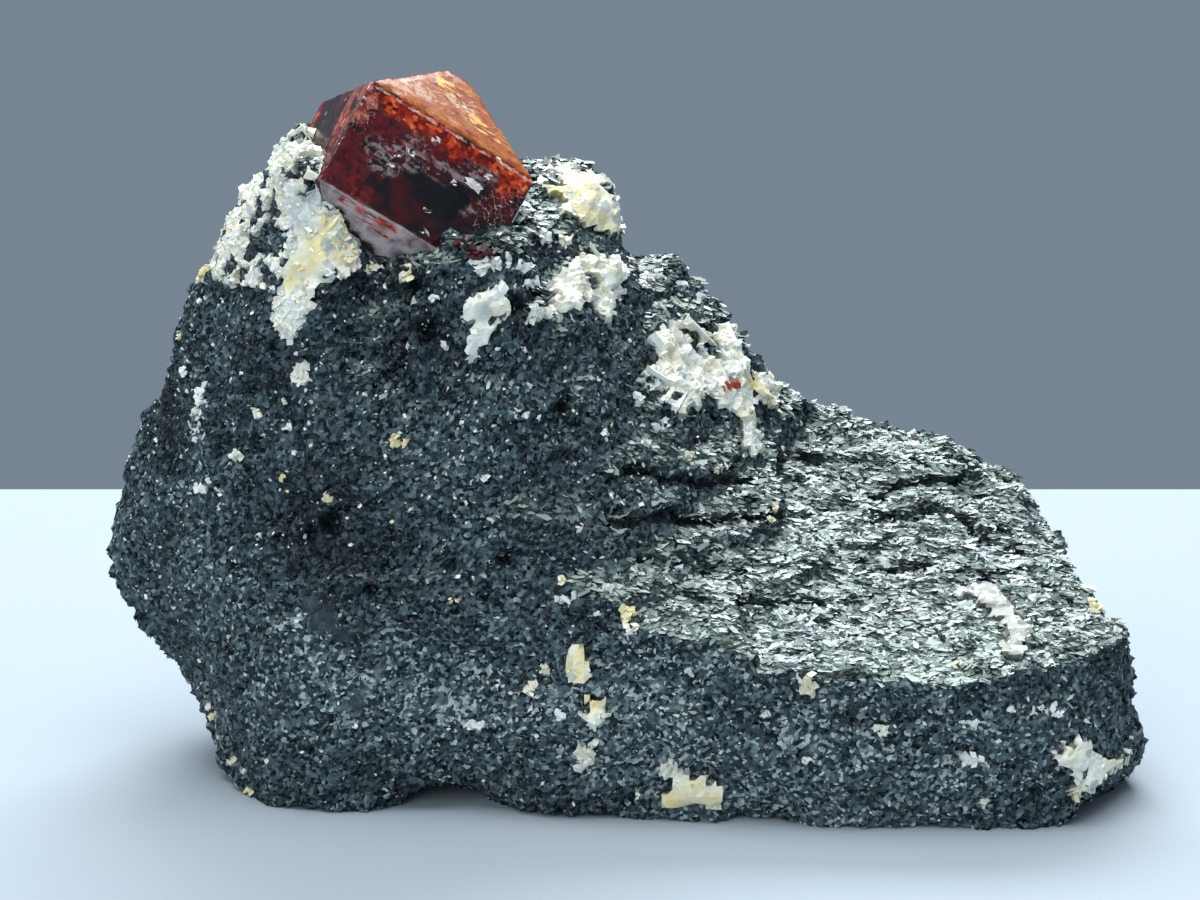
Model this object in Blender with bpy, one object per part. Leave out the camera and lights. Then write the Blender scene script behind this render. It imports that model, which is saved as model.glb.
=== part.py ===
"""Zircon crystal on biotite schist.

A block of dark mica schist, broken on all sides, carries one thick tetragonal zircon crystal on
its upper left shoulder. Cream calcite fills veins and pockets in the schist. Lengths below are in
millimetres; every finished mesh is scaled to metres. +X is the block's longest extent, -Y its
displayed front and +Z up. The numbers are measured from a point near the middle of the base;
finishing moves the origin to the middle of the base's bounding box.
"""

import math

import bmesh
import bpy
import numpy as np
from mathutils import Matrix, Vector, noise

MM = 0.001
GAP = 0.3            # clearance between touching solids
SEED_SHIFT = 31.7    # moves the noise pattern to the piece of it that is used
ORIGIN = Vector((-0.2, -1.4, 0.0))   # becomes the origin, under the middle of the block

# Zircon: half lengths of the prism along its three axes, and where the crystal sits.
ZIRCON_CENTRE = Vector((-16.3, -5.5, 44.7))
ZIRCON_AXIS = Vector((0.435, 0.363, 0.824))      # the fourfold axis c
ZIRCON_WIDE = Vector((0.816, 0.228, -0.532))     # the axis along the longer prism side
PRISM_HALF_WIDE = 7.1
PRISM_HALF_DEEP = 6.1
PRISM_HALF_HIGH = 4.1
C_TO_A = 0.905                                   # axial ratio of zircon
WORN_EDGE = 0.22                                 # how deep the steep pyramid cuts the front edge

# Schist: the broken relief, and the mica plates that step through it.
LUMPS = ((11.0, 0.9), (4.6, 0.45), (2.1, 0.22))  # (size, height)
CREASE_SIZE = 6.5
CREASE_HEIGHT = 0.35
PLATE_NORMAL = Vector((0.06, -0.33, 0.94)).normalized()   # the direction that the plates face
PLATE_PITCH = 2.4
PLATE_WAVE = 13.0       # the plates wave up and down at this size
PLATE_RISER = (0.62, 0.92)   # the share of a plate's thickness where its edge steps up
PLATE_FLATNESS = 0.45   # how far a face along the plates is drawn to their levels, 0 to 1
PLATE_FACING = (0.6, 0.9)    # from here to here a face counts more and more as along the plates
PLATE_PATCH = 9.0       # patches of a plate this large stand out or back together
PLATE_STEP = 0.72       # by this much
PLATE_SHUFFLE = 33.0    # moves that pattern from one plate to the next
GROOVE_DEPTH = 0.2      # between two plates
GROOVE_PLACE = 0.78     # the share of a plate's thickness where the groove lies
GROOVE_WIDTH = 0.1      # its half width, as a share of a plate's thickness
HOLLOWS = (            # (centre, radius, depth) of larger chips; a negative depth is a boss
    ((22.0, 3.0, 19.0), 3.6, 0.9), ((27.5, 6.0, 19.5), 3.0, 0.7), ((14.5, 6.0, 22.0), 2.6, 0.6),
    ((-24.0, -16.5, 19.0), 3.5, 0.9), ((-33.0, -9.0, 24.5), 3.0, 0.6), ((-12.0, -16.5, 33.0), 4.0, 0.6),
    ((-17.5, -15.0, 38.0), 2.6, 1.1), ((5.0, -12.0, 19.5), 3.2, 0.5), ((3.4, -1.0, 31.0), 3.0, 0.7),
    ((-14.0, -17.5, 9.0), 4.0, 0.7), ((-5.0, 18.5, 24.0), 5.0, 1.2), ((12.0, 20.0, 10.0), 4.5, 0.9),
    ((-26.0, 13.5, 26.0), 4.5, 1.0), ((28.0, 20.0, 12.0), 3.5, 0.8),
    ((-22.6, -10.5, 47.6), 4.2, -1.3), ((-1.5, 3.0, 44.5), 2.5, -0.5),
)
VOXEL = 0.85           # grid of the schist's fine surface
ROCK_FACES = 5900      # triangles left on the matrix before its pockets are cut
CALCITE_LUMPS = ((1.7, 0.22), (3.4, 0.18))   # (size, height) of lumps of crystal size
SHELL_VOXEL = 0.6      # grid of the surface that the calcite fills up to
SHELL_FACES = 15000

# The block as rails from its left tip to its right end: (x, y, z) along each.
TIP = (-40.1, -2.0, 16.0)
RIGHT_END = 41.0
FRONT_FOOT = (
    (-39.6, -3, 14), (-38.1, -4, 11.3), (-35.4, -5, 8.2), (-33, -6, 5.4), (-30.9, -8, 1.6),
    (-29.1, -11.4, -0.3), (-26.3, -15.6, -0.5), (-21.8, -16.6, -0.5), (-17.9, -15, 0.1),
    (-15.6, -16, 1.9), (-13.4, -16, 2), (-11.2, -16, 1.3), (-9, -16, 0.6), (-7.6, -17.1, -0.5),
    (-4.6, -18.4, -0.7), (2.7, -18, -0.8), (8.5, -19, -0.8), (15, -20, -0.8), (28.3, -20.4, -0.8),
    (32.7, -20, -0.7), (36, -17.5, -0.6), (41, -15, -0.6),
)
FRONT_LOW = (
    (-37.8, -5, 13.5), (-35.1, -6.5, 11.5), (-32.3, -8.5, 9.5), (-30.3, -11, 7.5),
    (-26.3, -16, 6.5), (-21.8, -17.2, 6.5), (-15.6, -17.3, 7), (-9, -17.6, 6.5),
    (-4.6, -18.8, 6.5), (2.7, -19.2, 6.5), (8.5, -20, 6.5), (15, -20.8, 6.3), (29.7, -21.2, 6.5),
    (36, -18.5, 6.5), (41, -15.5, 6.5),
)
FRONT_LIP = (
    (-37.8, -6, 15.5), (-35.1, -8, 16), (-30, -12, 17), (-26.7, -14.5, 17.5), (-21.8, -16.2, 17.5),
    (-15, -16.8, 17.5), (-9, -17.2, 17), (-4, -18, 15.6), (1.5, -19, 14.8), (6.9, -20, 14),
    (9.8, -20.5, 12.3), (16.1, -21, 12), (23.9, -21.5, 11.9), (29.7, -20.7, 13), (35, -16, 13),
    (41, -13, 12.2),
)
FRONT_MID = (
    (-37.8, -5, 20), (-34.6, -8, 21.6), (-30, -11, 27.6), (-26.7, -13, 28.5), (-21.8, -15, 28.5),
    (-15, -15.8, 28.5), (-9, -15.8, 28.5), (-5, -15, 28), (-2, -14.4, 24.5), (2, -14, 19.5),
    (6, -12.5, 18), (9.8, -12, 16.3), (16, -12, 15.1), (24, -12, 14.6), (29.7, -12, 14.8),
    (35, -9, 13.6), (41, -8, 12.2),
)
BROW = (
    (-38.2, -3, 22), (-35.2, -5, 26.5), (-33.5, -6, 30.5), (-31, -7.5, 35), (-28.3, -9.5, 37.5),
    (-26.7, -12, 38), (-23.5, -13.8, 40), (-21, -14.9, 41.6), (-19.4, -13.4, 39.4),
    (-17.4, -12.4, 38.4), (-13.5, -14, 41), (-10.2, -14, 42), (-7.4, -12.5, 42.2),
    (-6, -9.5, 40.5), (-4.6, -9, 36.9), (-2, -9, 33), (1.4, -7.5, 28.5), (5.9, -5, 24.8),
    (9.8, -4, 21.5), (16, -3, 18.7), (24, -3, 18), (30, -3, 16.5), (35.5, -1, 14.3), (41, 0, 13),
)
UPPER = (
    (-37, -2.5, 26), (-33.5, -3.5, 33), (-30, -6, 40), (-27, -9.5, 43.9), (-24.8, -12, 47.4),
    (-22.2, -13.2, 48.2), (-20.4, -13.6, 45.4), (-19, -10, 43), (-14, -8, 43.2), (-8, -6, 43.2),
    (-6.2, -1.5, 44.2), (-3, -0.8, 43.8), (-1, 0, 41.2), (0, 0, 38), (1.4, -2, 33.5), (3.1, -1, 33),
    (5.9, 1.5, 30), (9.8, 3, 26.3), (13, 4, 22.6), (17, 5, 21.4), (26, 5.5, 19.8),
    (33.6, 6, 16.9), (41, 6, 15.5),
)
CREST = (
    (-38.6, -1.5, 19), (-37, -0.5, 22.8), (-36.6, 0, 26.6), (-34.8, 0, 29),
    (-33.2, 0, 33.9), (-30.7, 0, 39.7), (-28.1, 0, 43.5), (-25.2, 0, 47), (-23.8, -0.5, 49.3),
    (-21, 1, 48.5), (-14, 4, 45.5), (-8.5, 5, 45.5), (-7, 5, 46.4), (-3.2, 5, 46.5), (-1.3, 5, 45.3),
    (-0.8, 5, 41.8), (0, 5, 39.3), (1.7, 6, 38), (3.1, 6, 38.8), (4.8, 6, 38.3), (5.9, 7, 35.9),
    (8.1, 7, 33.2), (10.6, 8, 31.2), (13.2, 10, 26.9), (17.1, 12, 25.6), (21.3, 13, 24),
    (26.3, 13, 23.2), (30.9, 13, 21.9), (34.4, 12, 19.8), (41, 12, 17),
)
BACK_SHOULDER = (
    (-37.4, 3, 22), (-33.5, 6, 29), (-29, 9, 35.5), (-24, 10.5, 40.5), (-18, 12, 41),
    (-10, 13, 40), (-3, 12.5, 38.5), (1, 13, 34), (5, 13.5, 31), (10, 14.5, 26.5),
    (15, 16.3, 23.3), (22, 17.5, 21.3), (30, 17.5, 19), (41, 17, 15),
)
BACK_HIGH = (
    (-37.8, 2.5, 18.5), (-34, 7, 22), (-29, 11.5, 27), (-24, 14, 31), (-16, 16, 32.5),
    (-8, 16.5, 32), (-1, 17.2, 29.5), (6, 17.8, 25), (14, 18.8, 19.5), (24, 19.5, 17),
    (31, 19, 15), (41, 18.5, 12),
)
BACK_MID = (
    (-38, 2, 16), (-34, 7.5, 16.5), (-29, 12, 18), (-24, 15.5, 19.5), (-16, 17.8, 20.5),
    (-8, 18.3, 20), (-1, 18.6, 18.5), (6, 18.2, 15.5), (14, 19.6, 13), (24, 20.4, 11.5),
    (31, 19.5, 10), (41, 18.5, 9),
)
BACK_LOW = (
    (-37.8, 1.5, 13.6), (-33, 5.5, 10.5), (-29, 9, 8.5), (-24, 13.5, 8), (-16, 17, 8.5),
    (-8, 17.5, 8.5), (0, 18.8, 8), (10, 19.8, 7), (22, 20.2, 6), (31, 19, 5.5), (41, 18, 5),
)
BACK_FOOT = (
    (-37.9, 0.5, 12.5), (-33, 2, 7.4), (-30.3, 4, 2.6), (-28.5, 6, -0.4), (-24, 11, -0.7),
    (-16, 14.5, -0.8), (-8, 15.5, -0.8), (4, 17.5, -0.8), (22, 18.7, -0.8), (41, 17.5, -0.8),
)
BELLY = (
    (-38.6, -2, 12), (-34.6, -2, 7.4), (-31.6, -2, 2.6), (-29.2, -2, -0.3), (-24, -2, -1),
    (-10, -2, -1.2), (10, -1, -1.2), (41, 0, -1.2),
)
BELLY_FRONT = (
    (-38.8, -3, 12.2), (-34.6, -4.5, 7.3), (-31.6, -5.5, 2.6), (-29.2, -7.5, -0.3), (-24, -9, -0.8),
    (-17.9, -9, -0.3), (-13.4, -10, 0.9), (-9, -10, -0.2), (-6, -9, -1), (41, -8, -1),
)
RAILS = (FRONT_FOOT, FRONT_LOW, FRONT_LIP, FRONT_MID, BROW, UPPER, CREST, BACK_SHOULDER,
         BACK_HIGH, BACK_MID, BACK_LOW, BACK_FOOT, BELLY, BELLY_FRONT)
STATIONS = 76          # rings from the tip to the right end
BUNCHING = 1.15        # draws the rings together towards the tip
BETWEEN_RAILS = 5      # points from one rail to the next

# Fracture faces that end the block on the right and behind: a point on each and its outward
# direction.
BREAKS = (
    (Vector((38.9, -9.0, 3.0)), Vector((1.0, 0.22, 0.13))),
    (Vector((35.6, 8.0, 14.0)), Vector((1.0, 0.05, 0.22))),
    (Vector((37.6, -14.2, 2.0)), Vector((0.88, -0.47, 0.05))),
    (Vector((33.9, -19.2, 2.0)), Vector((0.62, -0.78, 0.08))),
    (Vector((33.5, 16.0, 8.0)), Vector((0.80, 0.60, 0.05))),
    (Vector((36.4, -14.0, 1.3)), Vector((0.62, -0.30, -0.72))),
    (Vector((-34.9, -8.1, 22.0)), Vector((-0.83, -0.46, 0.32))),
    (Vector((-19.0, 15.4, 31.0)), Vector((-0.38, 0.86, 0.34))),
    (Vector((6.0, 17.4, 18.0)), Vector((0.22, 0.95, 0.22))),
    (Vector((-30.0, 8.6, 20.0)), Vector((-0.76, 0.62, 0.20))),
    (Vector((-8.0, 16.9, 10.0)), Vector((-0.05, 0.97, -0.24))),
    (Vector((26.0, 18.9, 10.0)), Vector((0.10, 0.98, 0.16))),
)

# Calcite: each body's outline as (x, z) at the depth y of its face, the direction in which it
# runs into the rock as (dx, dz) for each millimetre of y, how far it stands proud of the schist,
# and the flat inner walls that end it, each a point and the direction that lies beyond it.
CALCITES = {
    "calcite_left": dict(
        depth=-10, lean=(-0.106, -0.137), proud=0.3,
        walls=(((-25.0, -1.5, 44.0), (0.3, 0.9, 0.3)), ((-29.0, -5.0, 38.5), (-0.1, 0.75, -0.6))),
        outline=((-25.2, 51.5), (-21.6, 51.2), (-22.4, 48.4), (-21.9, 46.2), (-21.0, 43.4),
                 (-20.1, 41.7), (-19.3, 40.4), (-19.7, 39.5), (-21.6, 39.0), (-22.9, 37.2),
                 (-23.4, 35.6), (-24.4, 34.5), (-25.8, 35.7), (-25.1, 37.6), (-26.8, 38.1),
                 (-29.1, 38.3), (-33.5, 37.4), (-34.4, 39.5), (-32.0, 43.5), (-28.6, 47.5)),
    ),
    "calcite_knob": dict(
        depth=1, lean=(-0.008, -0.119), proud=0.3,
        walls=(((-3.0, 7.8, 43.0), (0.35, 1.0, 0.3)), ((-3.0, 6.5, 41.0), (-0.2, 0.7, -0.5))),
        outline=((-6.9, 45.4), (-6.2, 45.9), (-5.2, 45.4), (-5.2, 48.0), (1.2, 48.0), (1.2, 40.2),
                 (-0.8, 40.6), (-2.3, 41.3), (-4.7, 42.0), (-5.5, 42.9), (-5.9, 43.8),
                 (-6.7, 44.3)),
    ),
    "calcite_shoulder": dict(
        depth=-5, lean=(-0.007, -0.156), proud=0.5, walls=(((-2.5, -1.5, 37.0), (0.0, 0.8, -0.6)),),
        outline=((-4.5, 38.7), (-2.8, 39.4), (0.0, 39.3), (1.0, 38.7), (0.1, 37.6), (-0.1, 36.3),
                 (-0.8, 35.0), (-1.4, 34.6), (-1.7, 36.5), (-3.0, 35.8), (-4.6, 35.4),
                 (-5.7, 34.6), (-6.8, 34.6), (-6.9, 35.5), (-5.8, 36.3), (-5.3, 37.9)),
    ),
    "calcite_brow": dict(
        depth=-12, lean=(-0.04, -0.155), proud=0.4, walls=(((-9.8, -10.5, 36.0), (0.1, 1.0, -0.1)),),
        outline=((-8.9, 38.9), (-8.3, 38.0), (-8.0, 36.9), (-8.4, 35.9), (-9.8, 34.6),
                 (-9.9, 33.6), (-10.8, 32.7), (-11.6, 32.7), (-11.2, 34.0), (-11.2, 35.2),
                 (-11.6, 35.9), (-11.3, 37.0), (-10.2, 37.8), (-9.3, 38.1)),
    ),
    "calcite_slope": dict(
        depth=0, lean=(0.042, -0.188), proud=0.5, walls=(((5.1, 2.3, 27.4), (-0.48, 0.58, -0.66)),),
        outline=((2.2, 32.4), (3.4, 32.9), (4.3, 33.8), (7.2, 32.7), (7.6, 33.7), (8.5, 33.4),
                 (9.1, 31.9), (9.2, 30.7), (11.3, 29.5), (12.4, 28.2), (11.9, 27.3), (10.2, 27.3),
                 (10.1, 25.3), (10.9, 23.5), (10.0, 23.5), (9.3, 26.1), (8.8, 27.3), (7.6, 27.3),
                 (6.9, 28.2), (6.0, 28.2), (5.3, 27.3), (4.1, 26.7), (3.4, 27.7), (4.1, 28.9),
                 (1.9, 29.8), (3.5, 30.6)),
    ),
    "calcite_ledge": dict(
        depth=-13, lean=(0.147, -0.275), proud=0.35, walls=(((27.5, -12.0, 11.9), (0.0, 0.3, -1.0)),),
        outline=((25.1, 15.9), (26.2, 16.4), (27.3, 16.5), (28.0, 15.6), (29.6, 13.5),
                 (30.3, 13.0), (30.0, 12.0), (29.1, 10.8), (27.9, 11.3), (28.6, 12.0),
                 (28.2, 13.3), (26.8, 14.7)),
    ),
    "calcite_corner": dict(
        depth=-17, lean=(0.181, -0.331), proud=0.4, walls=(((32.5, -15.5, 3.0), (-0.72, 0.69, 0.0)),),
        outline=((31.5, 4.5), (33.1, 5.1), (34.3, 5.8), (34.5, 4.6), (35.6, 4.1), (37.3, 4.9),
                 (36.2, 3.7), (35.2, 2.6), (34.2, 1.9), (33.3, 1.5), (33.2, 2.3), (32.9, 3.5),
                 (32.1, 3.8)),
    ),
    "calcite_base": dict(
        depth=-19, lean=(0.032, -0.34), proud=0.4, walls=(((4.8, -16.5, 2.5), (0.0, 1.0, 0.1)),),
        outline=((2.4, 4.2), (3.7, 4.8), (4.3, 3.6), (5.7, 3.8), (6.4, 3.4), (7.1, 2.7),
                 (7.3, 1.9), (6.4, 1.5), (5.3, 1.8), (4.2, 1.5), (2.8, 1.3), (2.9, 2.0),
                 (3.8, 2.6), (3.7, 3.3)),
    ),
    "calcite_front": dict(
        depth=-18, lean=(-0.005, -0.3), proud=0.35, walls=(((-2.7, -16.0, 10.5), (0.0, 1.0, 0.1)),),
        outline=((-3.7, 12.8), (-3.0, 13.5), (-2.8, 12.2), (-1.9, 12.0), (-2.2, 11.1),
                 (-2.6, 10.3), (-1.7, 9.8), (-1.5, 8.4), (-1.1, 7.5), (-2.0, 7.1), (-3.2, 8.0),
                 (-3.3, 9.4), (-3.9, 10.3), (-3.6, 11.4)),
    ),
}
OUTLINE_REACH = 60.0   # the calcite prisms run this far either way along their line
CORNER_LIMIT = 0.8     # keeps a sharp corner from running far out when its outline is widened
CUT_DISTANCE = 1e-5    # points this near a cutting plane count as on it
MERGE_DISTANCE = 0.02  # points this near each other are one
SLIVER_WIDTH = 0.01    # triangles narrower than this are dropped
FLOOR = Vector((0.0, 0.0, 0.0))
DOWN = Vector((0.0, 0.0, -1.0))


def clear_scene():
    """Remove every object that is already in the scene."""
    for obj in list(bpy.data.objects):
        bpy.data.objects.remove(obj, do_unlink=True)


def material(name, colour, roughness, alpha=1.0, ior=1.5):
    """A plain Principled material."""
    mat = bpy.data.materials.new(name)
    mat.use_nodes = True
    shader = mat.node_tree.nodes["Principled BSDF"]
    shader.inputs["Base Color"].default_value = (*colour, 1.0)
    shader.inputs["Roughness"].default_value = roughness
    shader.inputs["Metallic"].default_value = 0.0
    shader.inputs["IOR"].default_value = ior
    shader.inputs["Alpha"].default_value = alpha
    return mat


def add_object(name, mesh):
    """Link a mesh to the scene under a name."""
    obj = bpy.data.objects.new(name, mesh)
    bpy.context.scene.collection.objects.link(obj)
    return obj


def settle(obj):
    """Apply the object's modifiers by keeping its evaluated mesh."""
    bpy.context.view_layer.update()
    graph = bpy.context.evaluated_depsgraph_get()
    mesh = bpy.data.meshes.new_from_object(obj.evaluated_get(graph))
    obj.modifiers.clear()
    obj.data = mesh
    return obj


def mesh_from(name, points, faces):
    """A mesh with outward faces from points and index loops."""
    mesh = bpy.data.meshes.new(name)
    mesh.from_pydata([tuple(point) for point in points], [], faces)
    bm = bmesh.new()
    bm.from_mesh(mesh)
    bmesh.ops.recalc_face_normals(bm, faces=bm.faces)
    if bm.calc_volume(signed=True) < 0:
        bmesh.ops.reverse_faces(bm, faces=bm.faces)
    bm.to_mesh(mesh)
    bm.free()
    return mesh


def rail_points(rail, stations):
    """Points of one rail at fractions of the way from the tip to the right end.

    y and z run straight between the rail's points, at x = tip + fraction * (end - tip).
    """
    line = np.array((TIP,) + rail, dtype=float)
    xs = TIP[0] + stations * (RIGHT_END - TIP[0])
    ys = np.interp(xs, line[:, 0], line[:, 1])
    zs = np.interp(xs, line[:, 0], line[:, 2])
    return np.stack([xs, ys, zs], axis=-1)


def block_blank():
    """The closed hull of the block: rings across the rails, joined from the tip to the end."""
    stations = np.linspace(0.0, 1.0, STATIONS + 1)[1:] ** BUNCHING
    rails = np.stack([rail_points(rail, stations) for rail in RAILS], axis=1)
    after = np.roll(rails, -1, axis=1)
    share = np.arange(BETWEEN_RAILS)[:, None] / BETWEEN_RAILS
    rings = rails[:, :, None, :] * (1.0 - share) + after[:, :, None, :] * share
    rings = rings.reshape(len(stations), -1, 3)
    around = rings.shape[1]
    points = [TIP] + [tuple(point) for ring in rings for point in ring]
    last = 1 + (len(stations) - 1) * around
    faces = [(0, 1 + i, 1 + (i + 1) % around) for i in range(around)]
    for s in range(len(stations) - 1):
        low = 1 + s * around
        high = low + around
        for i in range(around):
            j = (i + 1) % around
            faces.append((low + i, high + i, high + j, low + j))
    faces.append(tuple(last + i for i in range(around)))
    return add_object("block_blank", mesh_from("block_blank", points, faces))


def slice_off(obj, point, outward):
    """Cut away what lies beyond a plane and close the cut with a flat face."""
    bm = bmesh.new()
    bm.from_mesh(obj.data)
    every = bm.verts[:] + bm.edges[:] + bm.faces[:]
    cut = bmesh.ops.bisect_plane(
        bm, geom=every, dist=CUT_DISTANCE, plane_co=point, plane_no=outward.normalized(),
        clear_outer=True,
    )
    rim = [item for item in cut["geom_cut"] if isinstance(item, bmesh.types.BMEdge)]
    bmesh.ops.triangle_fill(bm, edges=rim, use_beauty=True, use_dissolve=False)
    bmesh.ops.triangulate(bm, faces=bm.faces)
    bmesh.ops.recalc_face_normals(bm, faces=bm.faces)
    bm.to_mesh(obj.data)
    bm.free()


def remesh(obj, size):
    """Even out the surface with a voxel remesh."""
    mod = obj.modifiers.new("Remesh", "REMESH")
    mod.mode = "VOXEL"
    mod.voxel_size = size
    return settle(obj)


def coordinates(mesh):
    """Vertex positions and normals as arrays."""
    count = len(mesh.vertices)
    where = np.empty(count * 3, dtype=np.float32)
    mesh.vertices.foreach_get("co", where)
    facing = np.empty(count * 3, dtype=np.float32)
    mesh.vertices.foreach_get("normal", facing)
    return where.reshape(-1, 3).astype(float), facing.reshape(-1, 3).astype(float)


def put_coordinates(mesh, where):
    """Write an array of vertex positions back."""
    mesh.vertices.foreach_set("co", where.astype(np.float32).ravel())
    mesh.update()


def noise_at(where, size, shift):
    """Gradient noise of a given feature size at each point, about -1 to 1."""
    moved = where / size + shift
    return np.array([noise.noise(Vector(point)) for point in moved])


def ridges_at(where, size, shift):
    """Creased noise: 1 along sharp crests, falling to 0 between them."""
    return 1.0 - np.abs(noise_at(where, size, shift)) * 2.0


def smooth_step(value, low, high):
    """0 below low, 1 above high, and an S-curve between them."""
    share = np.clip((value - low) / (high - low), 0.0, 1.0)
    return share * share * (3.0 - 2.0 * share)


def broken_relief(where):
    """How far each point of the block moves along its normal: lumps, creases and chips."""
    lift = CREASE_HEIGHT * (ridges_at(where, CREASE_SIZE, SEED_SHIFT) - 0.5)
    for size, height in LUMPS:
        lift += height * noise_at(where, size, SEED_SHIFT + size)
    for centre, radius, depth in HOLLOWS:
        away = np.linalg.norm(where - np.array(centre), axis=1) / radius
        lift -= depth * np.clip(1.0 - away * away, 0.0, 1.0)
    return lift


def break_surface(obj):
    """Give the block its broken relief and its mica plates.

    A plate is one pitch of height along PLATE_NORMAL. Where the surface lies along the plates it
    is drawn to their flat levels; where it crosses them, each plate stands out or back by an
    amount of its own, with a groove below the next one.
    """
    where, facing = coordinates(obj.data)
    normal = np.array(PLATE_NORMAL)
    level = where @ normal / PLATE_PITCH + noise_at(where, PLATE_WAVE, SEED_SHIFT * 2)
    plate = np.floor(level)
    share = level - plate
    flat = np.abs(facing @ normal)
    to_level = (smooth_step(share, *PLATE_RISER) - share) * PLATE_PITCH
    snap = to_level * smooth_step(flat, *PLATE_FACING) * PLATE_FLATNESS
    patch = np.stack([where[:, 0], where[:, 1], plate * PLATE_SHUFFLE], axis=-1)
    step = PLATE_STEP * noise_at(patch, PLATE_PATCH, SEED_SHIFT * 3)
    groove = GROOVE_DEPTH * np.exp(-((share - GROOVE_PLACE) / GROOVE_WIDTH) ** 2)
    out = broken_relief(where) + (step - groove) * (1.0 - flat)
    put_coordinates(obj.data, where + facing * out[:, None] + normal * snap[:, None])


def soften(obj, rounds, factor):
    """Smooth the surface a little."""
    mod = obj.modifiers.new("Smooth", "SMOOTH")
    mod.iterations = rounds
    mod.factor = factor
    return settle(obj)


def thin_out(obj, faces):
    """Reduce the surface to about a number of triangles."""
    triangles = sum(len(poly.vertices) - 2 for poly in obj.data.polygons)
    mod = obj.modifiers.new("Decimate", "DECIMATE")
    mod.ratio = faces / triangles
    mod.use_collapse_triangulate = True
    return settle(obj)


def copy_of(obj, name):
    """A second object with its own copy of the mesh."""
    twin = obj.copy()
    twin.data = obj.data.copy()
    twin.name = name
    bpy.context.scene.collection.objects.link(twin)
    return twin


def grow(obj, distance):
    """Move every vertex out along its normal, with lumps of crystal size."""
    where, facing = coordinates(obj.data)
    lift = np.full(len(where), distance)
    for size, height in CALCITE_LUMPS:
        lift += height * noise_at(where, size, SEED_SHIFT * 4)
    put_coordinates(obj.data, where + facing * lift[:, None])


def boolean(obj, cutter, operation):
    """Apply one exact Boolean."""
    mod = obj.modifiers.new("Boolean", "BOOLEAN")
    mod.object = cutter
    mod.operation = operation
    mod.solver = "EXACT"
    mod.use_self = False
    return settle(obj)


def guide(obj):
    """Mark an object as a cutter, which is no part of the specimen."""
    obj.hide_render = True
    obj.display_type = "WIRE"
    return obj


def zircon_planes(extra):
    """The crystal's faces as (outward direction, distance from its centre), moved out by extra.

    Four prism faces, four pyramid faces at each end with the slope that the axial ratio gives,
    and one steep pyramid face that takes off the worn front edge.
    """
    c = ZIRCON_AXIS.normalized()
    wide = (ZIRCON_WIDE - c * ZIRCON_WIDE.dot(c)).normalized()
    deep = c.cross(wide)
    if deep.y > 0:
        deep = -deep
    planes = []
    for side, half in ((wide, PRISM_HALF_WIDE), (-wide, PRISM_HALF_WIDE),
                       (deep, PRISM_HALF_DEEP), (-deep, PRISM_HALF_DEEP)):
        planes.append((side, half + extra))
        for end in (c, -c):
            face = (side * C_TO_A + end).normalized()
            planes.append((face, face.dot(side) * half + face.dot(end) * PRISM_HALF_HIGH + extra))
    steep = (deep * 3.0 * C_TO_A + c).normalized()
    corner = steep.dot(deep) * PRISM_HALF_DEEP + steep.dot(c) * PRISM_HALF_HIGH
    planes.append((steep, corner - WORN_EDGE + extra))
    return planes


def zircon_body(name, extra=0.0):
    """The convex solid inside all the crystal's planes."""
    bm = bmesh.new()
    bmesh.ops.create_cube(bm, size=OUTLINE_REACH)
    for direction, distance in zircon_planes(extra):
        every = bm.verts[:] + bm.edges[:] + bm.faces[:]
        cut = bmesh.ops.bisect_plane(
            bm, geom=every, dist=CUT_DISTANCE, plane_co=direction * distance, plane_no=direction,
            clear_outer=True,
        )
        rim = [item for item in cut["geom_cut"] if isinstance(item, bmesh.types.BMEdge)]
        if rim:
            bmesh.ops.contextual_create(bm, geom=rim)
    bmesh.ops.remove_doubles(bm, verts=bm.verts, dist=MERGE_DISTANCE)
    bmesh.ops.recalc_face_normals(bm, faces=bm.faces)
    bmesh.ops.translate(bm, verts=bm.verts, vec=ZIRCON_CENTRE)
    mesh = bpy.data.meshes.new(name)
    bm.to_mesh(mesh)
    bm.free()
    return add_object(name, mesh)


def widened(outline, distance):
    """The outline moved outward: each corner goes out along the mean of its sides' normals."""
    points = np.array(outline, dtype=float)
    after = np.roll(points, -1, axis=0)
    ahead = after - points
    area = np.sum(points[:, 0] * after[:, 1] - points[:, 1] * after[:, 0])
    turn = 1.0 if area > 0 else -1.0
    ahead /= np.linalg.norm(ahead, axis=1)[:, None]
    normal = np.stack([ahead[:, 1], -ahead[:, 0]], axis=-1) * turn
    mean = normal + np.roll(normal, 1, axis=0)
    mean /= np.maximum(np.sum(mean * mean, axis=1), CORNER_LIMIT)[:, None] / 2.0
    return points + mean * distance


def calcite_prism(name, body, extra):
    """The calcite's outline drawn along its line into a prism, closed by its inner walls."""
    outline = widened(body["outline"], extra)
    dx, dz = body["lean"]
    count = len(outline)
    points = []
    for reach in (-OUTLINE_REACH, OUTLINE_REACH):
        for x, z in outline:
            points.append((x + dx * reach, body["depth"] + reach, z + dz * reach))
    faces = [tuple(range(count)), tuple(range(2 * count - 1, count - 1, -1))]
    for i in range(count):
        j = (i + 1) % count
        faces.append((i, count + i, count + j, j))
    obj = add_object(name, mesh_from(name, points, faces))
    for place, inward in body["walls"]:
        inward = Vector(inward).normalized()
        slice_off(obj, Vector(place) + inward * extra, inward)
    return obj


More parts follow.
